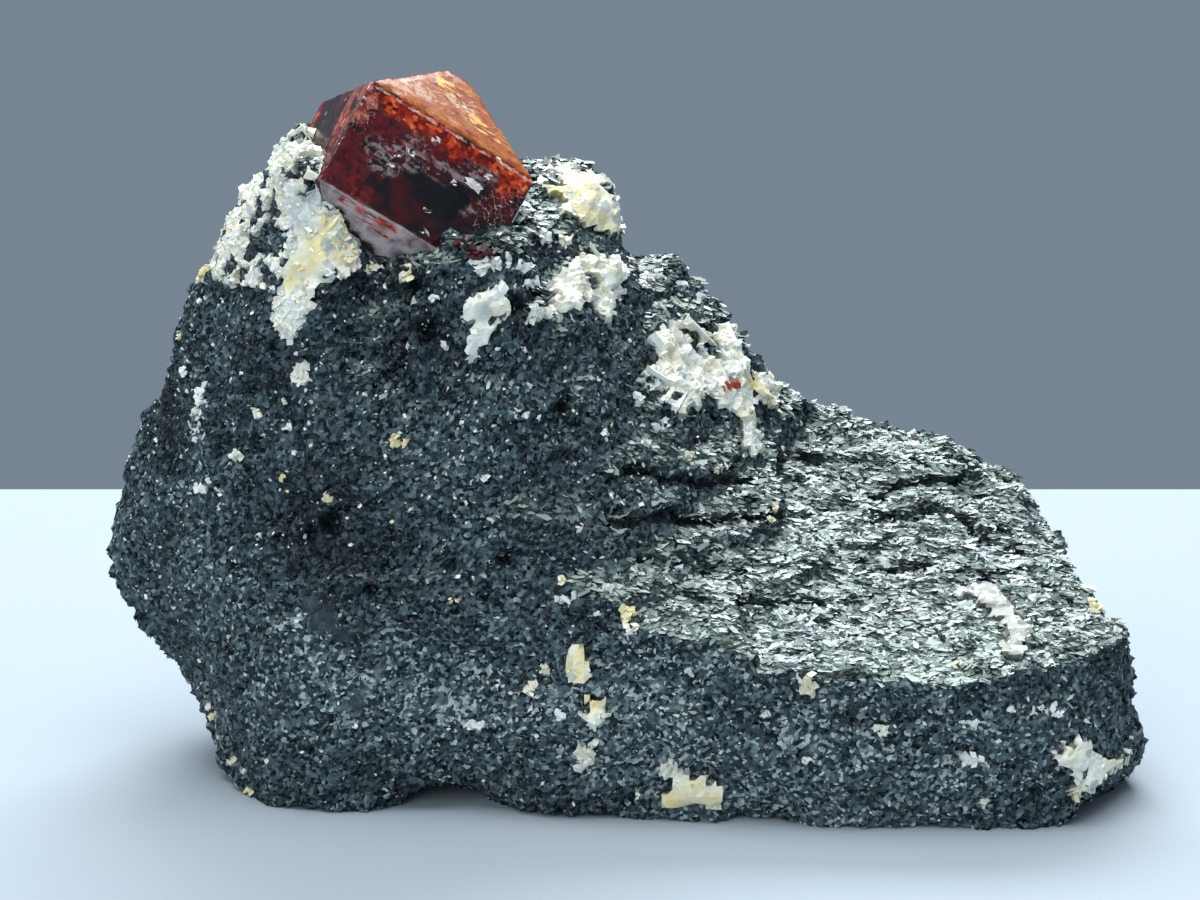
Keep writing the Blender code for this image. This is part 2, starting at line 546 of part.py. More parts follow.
def keep_largest(obj):
    """Keep the largest connected piece of a mesh."""
    bm = bmesh.new()
    bm.from_mesh(obj.data)
    bm.faces.ensure_lookup_table()
    left = set(bm.faces)
    pieces = []
    while left:
        piece = {left.pop()}
        front = list(piece)
        while front:
            face = front.pop()
            for edge in face.edges:
                for other in edge.link_faces:
                    if other in left:
                        left.remove(other)
                        piece.add(other)
                        front.append(other)
        pieces.append(piece)
    pieces.sort(key=lambda piece: sum(face.calc_area() for face in piece), reverse=True)
    stray = [face for piece in pieces[1:] for face in piece]
    if stray:
        bmesh.ops.delete(bm, geom=stray, context="FACES")
    bm.to_mesh(obj.data)
    bm.free()


def tidy(obj):
    """Triangulate, drop slivers that have no width, and leave one closed body."""
    bm = bmesh.new()
    bm.from_mesh(obj.data)
    bmesh.ops.remove_doubles(bm, verts=bm.verts, dist=MERGE_DISTANCE)
    bmesh.ops.dissolve_degenerate(bm, edges=bm.edges, dist=SLIVER_WIDTH)
    bmesh.ops.triangulate(bm, faces=bm.faces)
    bmesh.ops.recalc_face_normals(bm, faces=bm.faces)
    bm.to_mesh(obj.data)
    bm.free()
    keep_largest(obj)


def finish(obj, name, mat):
    """Name the solid, give it its material, and bring it to its origin and to metres."""
    obj.name = name
    obj.data.name = name
    obj.data.materials.clear()
    obj.data.materials.append(mat)
    obj.data.transform(Matrix.Scale(MM, 4) @ Matrix.Translation(-ORIGIN))
    obj.data.update()


def schist_block():
    """The block's broken surface, as a fine skin and as the solid of the matrix."""
    skin = block_blank()
    for point, outward in BREAKS:
        slice_off(skin, point, outward)
    remesh(skin, VOXEL)
    soften(skin, 2, 0.5)
    break_surface(skin)
    rock = copy_of(skin, "rock")
    slice_off(rock, FLOOR, DOWN)
    thin_out(rock, ROCK_FACES)
    return skin, rock


def calcite_body(name, body, skin, rock, pocket):
    """One body of calcite, and the pocket that it fills in the rock.

    The solid is the outline's prism inside the skin grown by the calcite's own height, less the
    crystal's pocket; the rock loses the same prism grown by the gap.
    """
    shell = guide(copy_of(skin, name + "_shell"))
    grow(shell, body["proud"])
    remesh(shell, SHELL_VOXEL)
    thin_out(shell, SHELL_FACES)
    slice_off(shell, FLOOR, DOWN)
    solid = calcite_prism(name, body, 0.0)
    boolean(solid, shell, "INTERSECT")
    boolean(solid, pocket, "DIFFERENCE")
    tidy(solid)
    hollow = guide(calcite_prism(name + "_hollow", body, GAP))
    boolean(rock, hollow, "DIFFERENCE")
    return solid


def remove_guides():
    """Delete the cutters once the solids are made."""
    for obj in list(bpy.data.objects):
        if obj.hide_render:
            bpy.data.objects.remove(obj, do_unlink=True)


def build():
    """Make the specimen."""
    clear_scene()
    skin, rock = schist_block()
    guide(skin)
    pocket = guide(zircon_body("zircon_pocket", GAP))
    boolean(rock, pocket, "DIFFERENCE")
    for name, body in CALCITES.items():
        solid = calcite_body(name, body, skin, rock, pocket)
        finish(solid, name, material(name, (0.72, 0.70, 0.58), 0.55))
        print(name, len(solid.data.polygons), "triangles")
    tidy(rock)
    finish(rock, "schist_matrix", material("schist", (0.055, 0.075, 0.080), 0.55))
    print("schist_matrix", len(rock.data.polygons), "triangles")
    crystal = zircon_body("zircon", 0.0)
    zircon = material("zircon", (0.42, 0.09, 0.05), 0.08, alpha=0.75, ior=1.95)
    finish(crystal, "zircon_crystal", zircon)
    remove_guides()


build()
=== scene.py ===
# %% [markdown]
# # Zircon on biotite schist
# A hand-sized block of dark mica schist carries one red-brown zircon, with cream calcite round it.
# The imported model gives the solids. This lesson works out their fine surfaces: the scaly skin of
# the rock, its loose-edged mica flakes, the grainy calcite and the clear crystal. Lengths are in
# millimetres in every function, and become metres only where a mesh is put into the scene.

# %% Load the frame
import itertools
import math
from types import SimpleNamespace

import bmesh
import bpy
import numpy as np
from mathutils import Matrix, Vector
from mathutils.bvhtree import BVHTree


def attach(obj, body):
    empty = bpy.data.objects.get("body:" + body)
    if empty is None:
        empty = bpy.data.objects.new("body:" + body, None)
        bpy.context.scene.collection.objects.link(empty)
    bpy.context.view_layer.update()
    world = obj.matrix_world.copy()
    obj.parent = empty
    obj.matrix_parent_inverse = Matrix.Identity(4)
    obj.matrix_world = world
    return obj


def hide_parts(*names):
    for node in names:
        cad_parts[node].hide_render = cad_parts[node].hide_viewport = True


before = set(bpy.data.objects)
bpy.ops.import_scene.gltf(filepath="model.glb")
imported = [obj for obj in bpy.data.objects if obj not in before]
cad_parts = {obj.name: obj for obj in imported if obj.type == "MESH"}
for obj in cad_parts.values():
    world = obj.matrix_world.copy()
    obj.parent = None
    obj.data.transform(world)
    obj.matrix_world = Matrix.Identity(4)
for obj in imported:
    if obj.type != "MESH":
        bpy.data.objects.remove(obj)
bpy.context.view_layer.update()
MM = 0.001
ZIRCON = "zircon_crystal"
SCHIST = "schist_matrix"
CALCITES = [name for name in sorted(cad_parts) if name.startswith("calcite_")]
print("solids:", SCHIST, ZIRCON, *CALCITES)

# %% [markdown]
# ## The camera
# The specimen is looked at from the front and a little above, with a long lens, so that its far
# edges hardly shrink. The same numbers later turn a place in the picture into a place on the rock:
# a ray leaves the camera and stops at the first surface. That is how small marks are set where
# they belong and still sit on the stone from every side.

# %% Camera
PICTURE = np.array((1200.0, 900.0))
LENS_PIXELS = 2838.0                     # focal length, in pixels of the picture
CAMERA_PLACE = np.array((-1.45, -213.79, 69.44))
CAMERA_DROP = math.radians(12.0)         # how far the view dips below level
FORWARD = np.array((0.0, math.cos(CAMERA_DROP), -math.sin(CAMERA_DROP)))
UPWARD = np.array((0.0, math.sin(CAMERA_DROP), math.cos(CAMERA_DROP)))
SENSOR = 36.0


def make_camera():
    """Put the camera in its place, level from side to side."""
    data = bpy.data.cameras.new("camera")
    data.sensor_width = SENSOR
    data.lens = LENS_PIXELS * SENSOR / PICTURE[0]
    data.clip_start = 0.01
    camera = bpy.data.objects.new("camera", data)
    camera.location = CAMERA_PLACE * MM
    camera.rotation_euler = (math.pi / 2 - CAMERA_DROP, 0.0, 0.0)
    bpy.context.scene.collection.objects.link(camera)
    bpy.context.scene.camera = camera
    print(f"lens {data.lens:.1f} mm")


def ray_through(across, down):
    """The direction from the camera through a place in the picture, in pixels."""
    right = (across - PICTURE[0] / 2) / LENS_PIXELS
    up = (PICTURE[1] / 2 - down) / LENS_PIXELS
    direction = FORWARD + np.array((right, 0.0, 0.0)) + UPWARD * up
    return direction / np.linalg.norm(direction)


make_camera()

# %% [markdown]
# ## Repeatable chance
# Rock is irregular, but the script has to give the same rock on every run. So chance comes from
# arithmetic: the three whole numbers of a cell in space are mixed into one large number, and that
# is cut into three shares. Nothing is stored and any number of points is done at once.

# %% Noise
MIXERS = np.array((73856093, 19349663, 83492791))       # large primes, one for each direction
SCRAMBLES = ((15, 2246822519), (13, 3266489917), (16, 668265263))     # shifts and odd factors
ALL_BITS = 0xFFFFFFFF
CUTS = (2, 12, 22)       # where each share's 10 bits start
SHARE_BITS = 1023        # the largest number of 10 bits
SALT_STEP = 7919         # a prime, so that each salt gives its own numbers


def scrambled(cells, salt):
    """Three repeatable numbers from 0 to 1 for each row of three whole numbers.

    The row is mixed into one number of 32 bits, which is cut into three of 10 bits.
    """
    mixed = (cells * MIXERS).sum(axis=-1) + salt * SALT_STEP
    for shift, factor in SCRAMBLES:
        mixed = (mixed ^ (mixed >> shift)) * factor & ALL_BITS
    return np.stack([(mixed >> cut & SHARE_BITS) / SHARE_BITS for cut in CUTS], axis=-1)


def ramp(value, low, high):
    """0 below low, 1 above high, and an S-curve between: 3s^2 - 2s^3."""
    share = np.clip((value - low) / (high - low), 0.0, 1.0)
    return share * share * (3.0 - 2.0 * share)


def smooth_noise(points, size, salt):
    """Noise from -1 to 1: random values at the corners of cubes, blended by an S-curve."""
    grid = points / size + salt * 0.37
    low = np.floor(grid).astype(np.int64)
    share = ramp(grid - low, 0.0, 1.0)
    total = np.zeros(len(points))
    for corner in itertools.product((0, 1), repeat=3):
        weight = np.where(corner, share, 1.0 - share).prod(axis=-1)
        total += weight * scrambled(low + np.array(corner), salt)[:, 0]
    return total * 2.0 - 1.0


def cells_near(points, size, salt):
    """Split space into cells round scattered seeds, one seed in each cube of a grid.

    Returns each point's offset from its nearest seed, and three random numbers that its whole
    cell shares.
    """
    grid = points / size
    home = np.floor(grid).astype(np.int64)
    best = np.full(len(points), np.inf)
    offset = np.zeros_like(grid)
    owner = np.zeros_like(home)
    for step in itertools.product((-1, 0, 1), repeat=3):
        cube = home + np.array(step)
        away = grid - cube - scrambled(cube, salt)
        far = np.linalg.norm(away, axis=1)
        closer = far < best
        best = np.where(closer, far, best)
        offset[closer] = away[closer]
        owner[closer] = cube[closer]
    return offset * size, scrambled(owner, salt + 1)


def facets(points, size, salt, lean, step):
    """A relief of flat facets: each cell is a small plane that leans its own way.

    Height = offset from the seed along a random direction, times lean, plus a random step.
    """
    offset, chance = cells_near(points, size, salt)
    tilt = (chance - 0.5) * 2.0
    return (offset * tilt).sum(axis=-1) * lean + tilt[:, 0] * step


# %% [markdown]
# ## Meshes as arrays
# A mesh is an array of points and an array of triangles. These few functions read a solid into
# arrays, merge the loose corners of its triangles, and find which way its surface looks.

# %% Array helpers
STEPS = 1000.0           # in a millimetre: corners on the same step coincide


def read_array(items, name, width, kind=np.float32):
    """One property of every item of a mesh, as rows."""
    found = np.empty(len(items) * width, kind)
    items.foreach_get(name, found)
    return found.reshape(-1, width)


def node_arrays(node):
    """A solid's points in millimetres and its triangles, with corners that coincide merged."""
    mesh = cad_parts[node].data
    mesh.calc_loop_triangles()
    points = read_array(mesh.vertices, "co", 3).astype(float) / MM
    triangles = read_array(mesh.loop_triangles, "vertices", 3, np.int32)
    keys = np.round(points * STEPS).astype(np.int64)
    _, first, place = np.unique(keys, axis=0, return_index=True, return_inverse=True)
    triangles = place.ravel()[triangles]
    a, b, c = triangles.T
    return points[first], triangles[(a != b) & (b != c) & (c != a)]


def face_normals(points, faces):
    """The direction square to each face, as long as twice its area."""
    a, b, c = points[faces[:, 0]], points[faces[:, 1]], points[faces[:, 2]]
    return np.cross(b - a, c - a)


def unit(rows):
    """Each row at length 1."""
    return rows / np.maximum(np.linalg.norm(rows, axis=-1, keepdims=True), 1e-12)


def point_normals(points, faces):
    """At each point, the mean direction of the faces round it, weighted by their areas."""
    normals = face_normals(points, faces)
    total = np.zeros_like(points)
    for corner in faces.T:
        for axis in range(3):
            total[:, axis] += np.bincount(corner, normals[:, axis], len(points))
    return unit(total)


def spread(values, edges, rounds):
    """Blur values over a mesh: each round, a point takes the mean of itself and its neighbours."""
    start, end = edges.T
    size = len(values)
    shared = np.bincount(start, minlength=size) + np.bincount(end, minlength=size) + 1.0
    for _ in range(rounds):
        around = np.bincount(start, values[end], size) + np.bincount(end, values[start], size)
        values = (values + around) / shared
    return values


# %% [markdown]
# Finished arrays go back into the scene as a mesh, with the numbers that its material should read
# kept at its points. A piece rides on the specimen's one body, takes its material, and hides the
# solids it stands for.

# %% Meshes and pieces
def put_mesh(name, points, faces, smooth=False):
    """A mesh in metres from points in millimetres."""
    mesh = bpy.data.meshes.new(name)
    mesh.from_pydata((points * MM).tolist(), [], faces.tolist())
    mesh.polygons.foreach_set("use_smooth", np.full(len(mesh.polygons), smooth))
    mesh.update()
    return mesh


def put_values(mesh, name, values):
    """Keep one number for each point of a mesh, for its material to read."""
    layer = mesh.attributes.new(name, "FLOAT", "POINT")
    layer.data.foreach_set("value", values.astype(np.float32))


def add_piece(name, mesh, paint, nodes=()):
    """Show a finished mesh as a piece of the specimen, in place of the solids it stands for."""
    mesh.materials.append(paint)
    piece = bpy.data.objects.new(name, mesh)
    bpy.context.scene.collection.objects.link(piece)
    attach(piece, "root")
    if nodes:
        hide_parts(*nodes)
    print(f"{name}: {len(mesh.polygons)} faces")
    return piece


# %% [markdown]
# ## Shader maths as expressions
# A material is a small sum of patterns. Written as nodes and links a sum is hard to read, so one
# class wraps a socket and overloads the arithmetic signs: writing `1 - mask` adds the Math node.

# %% Numbers of a material
class Value:
    """A number that a node gives out; arithmetic on it adds Math nodes."""

    def __init__(self, paint, socket):
        self.paint = paint
        self.socket = socket

    def maths(self, operation, *terms):
        """Add a Math node of one operation on these terms."""
        made = self.paint.node("Math", {"operation": operation}, dict(enumerate(terms)))
        return Value(self.paint, made.outputs[0])

    def __add__(self, other):
        return self.maths("ADD", self, other)

    def __sub__(self, other):
        return self.maths("SUBTRACT", self, other)

    def __rsub__(self, other):
        return self.maths("SUBTRACT", other, self)

    def __mul__(self, other):
        return self.maths("MULTIPLY", self, other)

    __radd__ = __add__
    __rmul__ = __mul__

    def most(self, other):
        """The larger of two numbers."""
        return self.maths("MAXIMUM", self, other)

    def size(self):
        """The number without its sign."""
        return self.maths("ABSOLUTE", self)

    def ramp(self, low, high):
        """0 at low, 1 at high, an S-curve between; low may be the larger."""
        sockets = {"Value": self, "From Min": low, "From Max": high}
        made = self.paint.node("MapRange", {"interpolation_type": "SMOOTHSTEP"}, sockets)
        return Value(self.paint, made.outputs["Result"])


# %% [markdown]
# A second class holds the nodes of one material. One of its methods adds any node, with its
# settings and its sockets. The others are the few patterns that stone needs, all of them with
# sizes in millimetres on the specimen itself.

# %% Nodes of a material
class Paint:
    """The nodes of one material."""

    def __init__(self, name):
        self.material = bpy.data.materials.new(name)
        self.material.use_nodes = True
        self.tree = self.material.node_tree
        self.tree.nodes.clear()
        self.coordinates = self.node("TexCoord")
        self.place = self.vector("SCALE", self.coordinates.outputs["Object"], scale=1.0 / MM)

    def node(self, kind, settings=None, sockets=None):
        """Add a node: its settings first, then the values or links of its sockets."""
        made = self.tree.nodes.new("ShaderNode" + kind)
        for name, value in (settings or {}).items():
            if name == "stops":
                self.set_stops(made.color_ramp, value)
            else:
                setattr(made, name, value)
        for name, value in (sockets or {}).items():
            source = getattr(value, "socket", value)
            if isinstance(source, bpy.types.NodeSocket):
                self.tree.links.new(source, made.inputs[name])
            else:
                made.inputs[name].default_value = value
        return made

    @staticmethod
    def set_stops(scale, stops):
        """Colour stops as (place, colour), the first two on the stops that a new scale has."""
        while len(scale.elements) < len(stops):
            scale.elements.new(0.5)
        for element, (place, colour) in zip(scale.elements, stops):
            element.position = place
            element.color = (*colour, 1.0)

    def vector(self, operation, first, second=None, scale=None):
        """Vector Math on two vectors, or on one and a number."""
        sockets = {0: first}
        if second is not None:
            sockets[1] = second
        if scale is not None:
            sockets["Scale"] = scale
        return self.node("VectorMath", {"operation": operation}, sockets).outputs[0]

    def kept(self, name):
        """The number that the mesh keeps for each point under a name."""
        return Value(self, self.node("Attribute", {"attribute_name": name}).outputs["Fac"])

    def noise(self, size, detail=2.0, place=None, warp=0.0):
        """Cloudy noise from 0 to 1, with lumps of a size in millimetres."""
        sockets = {"Vector": place or self.place, "Scale": 1.0 / size, "Detail": detail,
                   "Distortion": warp}
        return Value(self, self.node("TexNoise", None, sockets).outputs["Fac"])

    def cells(self, size, place=None):
        """Scattered cells: each cell's random colour and its random number."""
        sockets = {"Vector": place or self.place, "Scale": 1.0 / size}
        colour = self.node("TexVoronoi", None, sockets).outputs["Color"]
        parts = self.node("SeparateColor", None, {"Color": colour})
        return colour, Value(self, parts.outputs["Red"]), Value(self, parts.outputs["Green"])

    def edges(self, size):
        """How far the edge of the nearest scattered cell is, as a share of the cells' size."""
        sockets = {"Vector": self.place, "Scale": 1.0 / size}
        push = self.node("TexNoise", None, sockets).outputs["Color"]
        push = self.vector("SCALE", push, scale=size)
        sockets["Vector"] = self.vector("ADD", self.place, push)
        made = self.node("TexVoronoi", {"feature": "DISTANCE_TO_EDGE"}, sockets)
        return Value(self, made.outputs["Distance"])

    def mixed(self, share, first, second):
        """Two colours, blended by a share from 0 to 1."""
        sockets = {"Factor": share, 6: first, 7: second}
        return self.node("Mix", {"data_type": "RGBA"}, sockets).outputs[2]

    def scale(self, number, stops):
        """A colour read from a scale of stops."""
        return self.node("ValToRGB", {"stops": stops}, {"Fac": number}).outputs["Color"]

    def tilted(self, colour, amount):
        """The surface's direction plus (colour - 0.5) times an amount, at length 1.

        Each cell has one random colour, so each shines its own way.
        """
        lean = self.vector("SUBTRACT", colour, (0.5, 0.5, 0.5))
        lean = self.vector("SCALE", lean, scale=amount)
        facing = self.node("NewGeometry").outputs["Normal"]
        return self.vector("NORMALIZE", self.vector("ADD", facing, lean))

    def shader(self, sockets):
        """A Principled shader."""
        return self.node("BsdfPrincipled", None, sockets).outputs[0]

    def finish(self, surface, volume=None):
        """Link the shader to the material's output."""
        sockets = {"Surface": surface}
        if volume is not None:
            sockets["Volume"] = volume
        self.node("OutputMaterial", None, sockets)
        return self.material


def opaque(colour):
    """A colour with its fourth number, which is 1: nothing shows through."""
    return (*colour, 1.0)


# %% [markdown]
# ## Floor and light
# The block stands on a pale sheet under a broad soft light. A second soft light hangs above and
# behind: the mica lies in sheets that face up and slightly forward, and at that slope they mirror
# a light behind them towards the viewer. This is why the ledge gleams silver while the broken
# front, where the same sheets are seen on edge, stays dark. A weaker third light fills the front
# from the left.

# %% Floor, sky and lamps
SKY = (0.185, 0.235, 0.290)
FLOOR_COLOUR = (0.38, 0.44, 0.49)
FLOOR_SHADE = 0.96       # its darker clouds, as a share of its colour
FLOOR_EDGES = (-900.0, 900.0, -900.0, 92.0)     # left, right, near and far, seen from the front
LAMPS = (   # name, place, aimed at, width, depth, watts, colour
    ("lamp_above", (-30, -60, 560), (0, 0, 20), 560, 480, 3.6, (0.98, 0.99, 1.0)),
    ("lamp_behind", (20, 330, 400), (8, 0, 20), 380, 240, 3.4, (0.93, 0.97, 1.0)),
    ("lamp_front", (-260, -520, 260), (0, 0, 25), 420, 420, 1.6, (0.95, 0.98, 1.0)),
)


def make_stage():
    """The sheet that the block stands on."""
    left, right, near, far = FLOOR_EDGES
    corners = np.array(((left, near, 0), (right, near, 0), (right, far, 0), (left, far, 0)))
    paint = Paint("pale_sheet")
    shaded = opaque([c * FLOOR_SHADE for c in FLOOR_COLOUR])
    colour = paint.mixed(paint.noise(40.0), opaque(FLOOR_COLOUR), shaded)
    sockets = {"Base Color": colour, "Roughness": 0.9, "Specular IOR Level": 0.15}
    material = paint.finish(paint.shader(sockets))
    mesh = put_mesh("floor", corners, np.array(((0, 1, 2, 3),)))
    mesh.materials.append(material)
    floor = bpy.data.objects.new("floor", mesh)
    bpy.context.scene.collection.objects.link(floor)


def make_lamps():
    """Soft rectangular lamps, and an even sky."""
    for name, place, target, width, depth, watts, colour in LAMPS:
        data = bpy.data.lights.new(name, "AREA")
        data.shape = "RECTANGLE"
        data.size = width * MM
        data.size_y = depth * MM
        data.energy = watts
        data.color = colour
        lamp = bpy.data.objects.new(name, data)
        lamp.location = Vector(place) * MM
        lamp.rotation_euler = (Vector(target) - Vector(place)).to_track_quat("-Z", "Y").to_euler()
        bpy.context.scene.collection.objects.link(lamp)
    world = bpy.data.worlds.new("sky")
    world.use_nodes = True
    world.node_tree.nodes["Background"].inputs["Color"].default_value = opaque(SKY)
    bpy.context.scene.world = world
    bpy.context.scene.view_settings.view_transform = "Standard"
    print(len(LAMPS), "lamps")


make_stage()
make_lamps()

# %% [markdown]
# ## The skin of the block
# The rock and its calcite grew together, so their surfaces meet without a gap. The skin is made
# from copies of all their solids: each is swollen a little until they touch, the whole is rebuilt
# as one even net of small squares, and the swelling is taken off again. The net remembers which
# solid each point came from, and that tells where calcite ends and schist begins.

# %% One net over rock and calcite
SWELL = 0.2          # more than half the gap between two solids
NET = 0.40           # width of the net's squares


def make_net():
    """Rebuild all the solids' surfaces as one net; returns points, squares, edges and kinds."""
    parts, faces, kinds, count = [], [], [], 0
    for kind, node in enumerate([SCHIST] + CALCITES):
        points, triangles = node_arrays(node)
        parts.append(points + point_normals(points, triangles) * SWELL)
        faces.append(triangles + count)
        kinds.append(np.full(len(points), kind))
        count += len(points)
    mesh = put_mesh("net", np.concatenate(parts), np.concatenate(faces))
    put_values(mesh, "kind", np.concatenate(kinds))
    net = bpy.data.objects.new("net", mesh)
    bpy.context.scene.collection.objects.link(net)
    bpy.context.view_layer.objects.active = net
    mesh.remesh_voxel_size = NET * MM
    mesh.use_remesh_preserve_attributes = True
    bpy.ops.object.voxel_remesh()
    mesh = net.data
    points = read_array(mesh.vertices, "co", 3).astype(float) / MM
    squares = read_array(mesh.loops, "vertex_index", 1, np.int32).reshape(-1, 4)
    edges = read_array(mesh.edges, "vertices", 2, np.int32)
    kinds = np.round(read_array(mesh.attributes["kind"].data, "value", 1)[:, 0]).astype(int)
    bpy.data.objects.remove(net, do_unlink=True)
    facing = point_normals(points, squares)
    return points - facing * SWELL, squares, edges, kinds


NET_POINTS, NET_SQUARES, NET_EDGES, NET_KINDS = make_net()
NET_FACING = point_normals(NET_POINTS, NET_SQUARES)
NET_TREE = BVHTree.FromPolygons(NET_POINTS.tolist(), NET_SQUARES.tolist())
print(len(NET_POINTS), "points in the net")

# %% [markdown]
# Marks on the stone are given where they are seen: a place in the picture, and a size in
# millimetres. A ray finds the place on the net. The distance from there, or from a line through
# several such places, then tells every point how near the mark it is.

# %% Spots and lines
LOWERING = 2         # how far a ray that misses is lowered, in pixels
LOWERINGS = 40       # how often, at the most
FAR_OUT = -9.0       # less than any spot or line gives to a point near it


def seen_at(across, down, tree=NET_TREE):
    """The place on the rock that shows at a place in the picture, and its direction there.

    Where the ray just misses the upper rim, it is lowered until it meets the surface.
    """
    for lowered in range(LOWERINGS):
        ray = ray_through(across, down + lowered * LOWERING)
        place, facing, _, _ = tree.ray_cast(CAMERA_PLACE, ray)
        if place is not None:
            return np.array(place), np.array(facing)
    raise ValueError(f"nothing is seen at {across}, {down}")


def near_spots(points, spots, tree=NET_TREE):
    """How far inside the nearest of some round spots each point is: 1 - distance / radius.

    That is 1 at a spot's middle, 0 at its edge and less outside. A spot is a place in the picture
    and a radius in millimetres.
    """
    most = np.full(len(points), FAR_OUT)
    for across, down, radius in spots:
        away = np.linalg.norm(points - seen_at(across, down, tree)[0], axis=1)
        most = np.maximum(most, 1.0 - away / radius)
    return most


def near_lines(points, lines):
    """How close each point is to the nearest of some lines: 1 - distance / half width.

    A line is a half width in millimetres and a list of places in the picture, joined by straight
    stretches; the nearest place of a stretch is found by projecting the point onto it.
    """
    most = np.full(len(points), FAR_OUT)
    for width, *stops in lines:
        stops = [seen_at(across, down)[0] for across, down in stops]
        for start, end in zip(stops[:-1], stops[1:]):
            run = end - start
            share = np.clip((points - start) @ run / (run @ run), 0.0, 1.0)
            away = np.linalg.norm(points - start - share[:, None] * run, axis=1)
            most = np.maximum(most, 1.0 - away / width)
    return most


# %% [markdown]
# ## The crystal's faces
# The zircon's solid is already exact: a square prism with a pyramid at each end. Its flat faces
# are read back from it as planes. The height above the highest plane then tells how far any point
# is from the crystal, which is used twice: to draw the rock's pocket against the crystal, and to
# find the crystal's own edges.

# %% Planes of the crystal
def crystal_planes():
    """The unit normal and the distance from the origin of each flat face of the crystal.

    Triangles whose normals agree to one decimal lie in the same face.
    """
    points, triangles = node_arrays(ZIRCON)
    normals = unit(face_normals(points, triangles))
    _, first = np.unique(np.round(normals, 1), axis=0, return_index=True)
    normals = normals[first]
    return normals, (points @ normals.T).max(axis=0)


PLANES, REACHES = crystal_planes()
CRYSTAL_TREE = BVHTree.FromPolygons(*(rows.tolist() for rows in node_arrays(ZIRCON)))
print(len(PLANES), "crystal faces")


def above_planes(points):
    """Each point's height above each of the crystal's faces."""
    return points @ PLANES.T - REACHES


def from_crystal(points):
    """Each point's distance from the crystal, below 0 inside, and the face it is nearest to."""
    heights = above_planes(points)
    return heights.max(axis=1), heights.argmax(axis=1)


# %% [markdown]
# ## Where the calcite ends
# A vein has no ruled edge. Each calcite body's share of the net is blurred, and a number that is
# shared by a whole grain is added before the cut at one half, so the edge steps round grains and
# leaves islands. Dark mica pokes through in clusters, so those spots are taken out as well.

# %% Shares of the net
MICA_SPOTS = (      # where mica pokes through: place in the picture, radius in millimetres
    (300, 174, 1.1), (224, 238, 0.5), (203, 279, 1.1), (226, 283, 0.7), (249, 274, 0.5),
    (260, 292, 0.8), (245, 216, 0.6), (234, 262, 0.4), (283, 262, 0.4), (262, 215, 0.8),
    (218, 256, 0.45), (228, 270, 0.5), (242, 276, 0.6), (262, 265, 0.6), (268, 255, 0.6),
    (214, 272, 0.5), (270, 277, 0.6), (250, 258, 0.45),
    (268, 193, 1.4), (276, 212, 1.5), (265, 230, 1.3), (282, 240, 1.1), (256, 250, 0.8),
    (287, 176, 0.9), (302, 160, 0.8), (300, 140, 0.9), (312, 158, 0.5), (246, 205, 0.5),
    (539, 291, 1.3), (522, 299, 1.0), (595, 280, 0.7), (712, 347, 1.0), (697, 338, 0.7),
    (750, 366, 1.2), (756, 396, 0.6), (560, 162, 1.7), (590, 160, 1.7), (546, 172, 1.4),
    (608, 173, 1.0), (552, 200, 0.7), (575, 160, 1.5), (599, 662, 0.9), (571, 702, 0.9),
    (593, 688, 0.5),
)
CALCITE_EDGE = 5         # rounds of blur on the edge of a vein
EDGE_GRAINS = (1.5, 0.8)     # sizes of the grains that the edge steps round


def calcite_shares():
    """For each net point, how much of it is calcite, and of which body.

    The share is the blurred share of its own body, plus a number for its grain, less the mica.
    """
    shares = np.stack([spread((NET_KINDS == k + 1).astype(float), NET_EDGES, CALCITE_EDGE)
                       for k in range(len(CALCITES))])
    coarse, fine = (cells_near(NET_POINTS, size, salt)[1][:, 0] - 0.5
                    for size, salt in zip(EDGE_GRAINS, (41, 42)))
    ragged = 0.45 * coarse + 0.55 * fine
    mica = ramp(near_spots(NET_POINTS, MICA_SPOTS) + ragged * 2.0, -0.1, 0.4)
    share = shares.max(axis=0)
    ragged *= ramp(share, 0.02, 0.3) * (1.0 - 0.5 * ramp(share, 0.8, 1.0))
    return share + ragged - mica, shares.argmax(axis=0)


CALCITE_SHARE, CALCITE_BODY = calcite_shares()
print(f"calcite on {np.mean(CALCITE_SHARE > 0.5):.1%} of the net")

# %% [markdown]
# ## The broken schist
# Schist splits along its mica. Across the ledge the sheets lie nearly flat: the surface is a
# flight of low terraces covered in scales longer than they are wide. On the front the same
# sheets are broken across, and the surface is a fine hackle of flake ends. So the first thing to
# know of a place is how its surface lies to the sheets.

# %% Directions of the sheets
SHEET_NORMAL = unit(np.array((0.06, -0.33, 0.94)))
SHEET_STRIKE = unit(np.array((1.0, 0.0, 0.0)) - SHEET_NORMAL * SHEET_NORMAL[0])
SHEET_DIP = np.cross(SHEET_NORMAL, SHEET_STRIKE)
FLATNESS = (0.62, 0.88)      # cosines to the sheets at which a face cuts them, and lies along them


def in_sheets(points):
    """Coordinates along the strike of the mica sheets, down their dip, and through them."""
    return np.stack([points @ SHEET_STRIKE, points @ SHEET_DIP, points @ SHEET_NORMAL], axis=-1)


def lies_flat(facing):
    """1 where a surface lies along the sheets and 0 where it cuts them."""
    return ramp(facing @ SHEET_NORMAL, *FLATNESS)


print("sheets dip", round(math.degrees(math.acos(SHEET_NORMAL[2]))), "degrees")
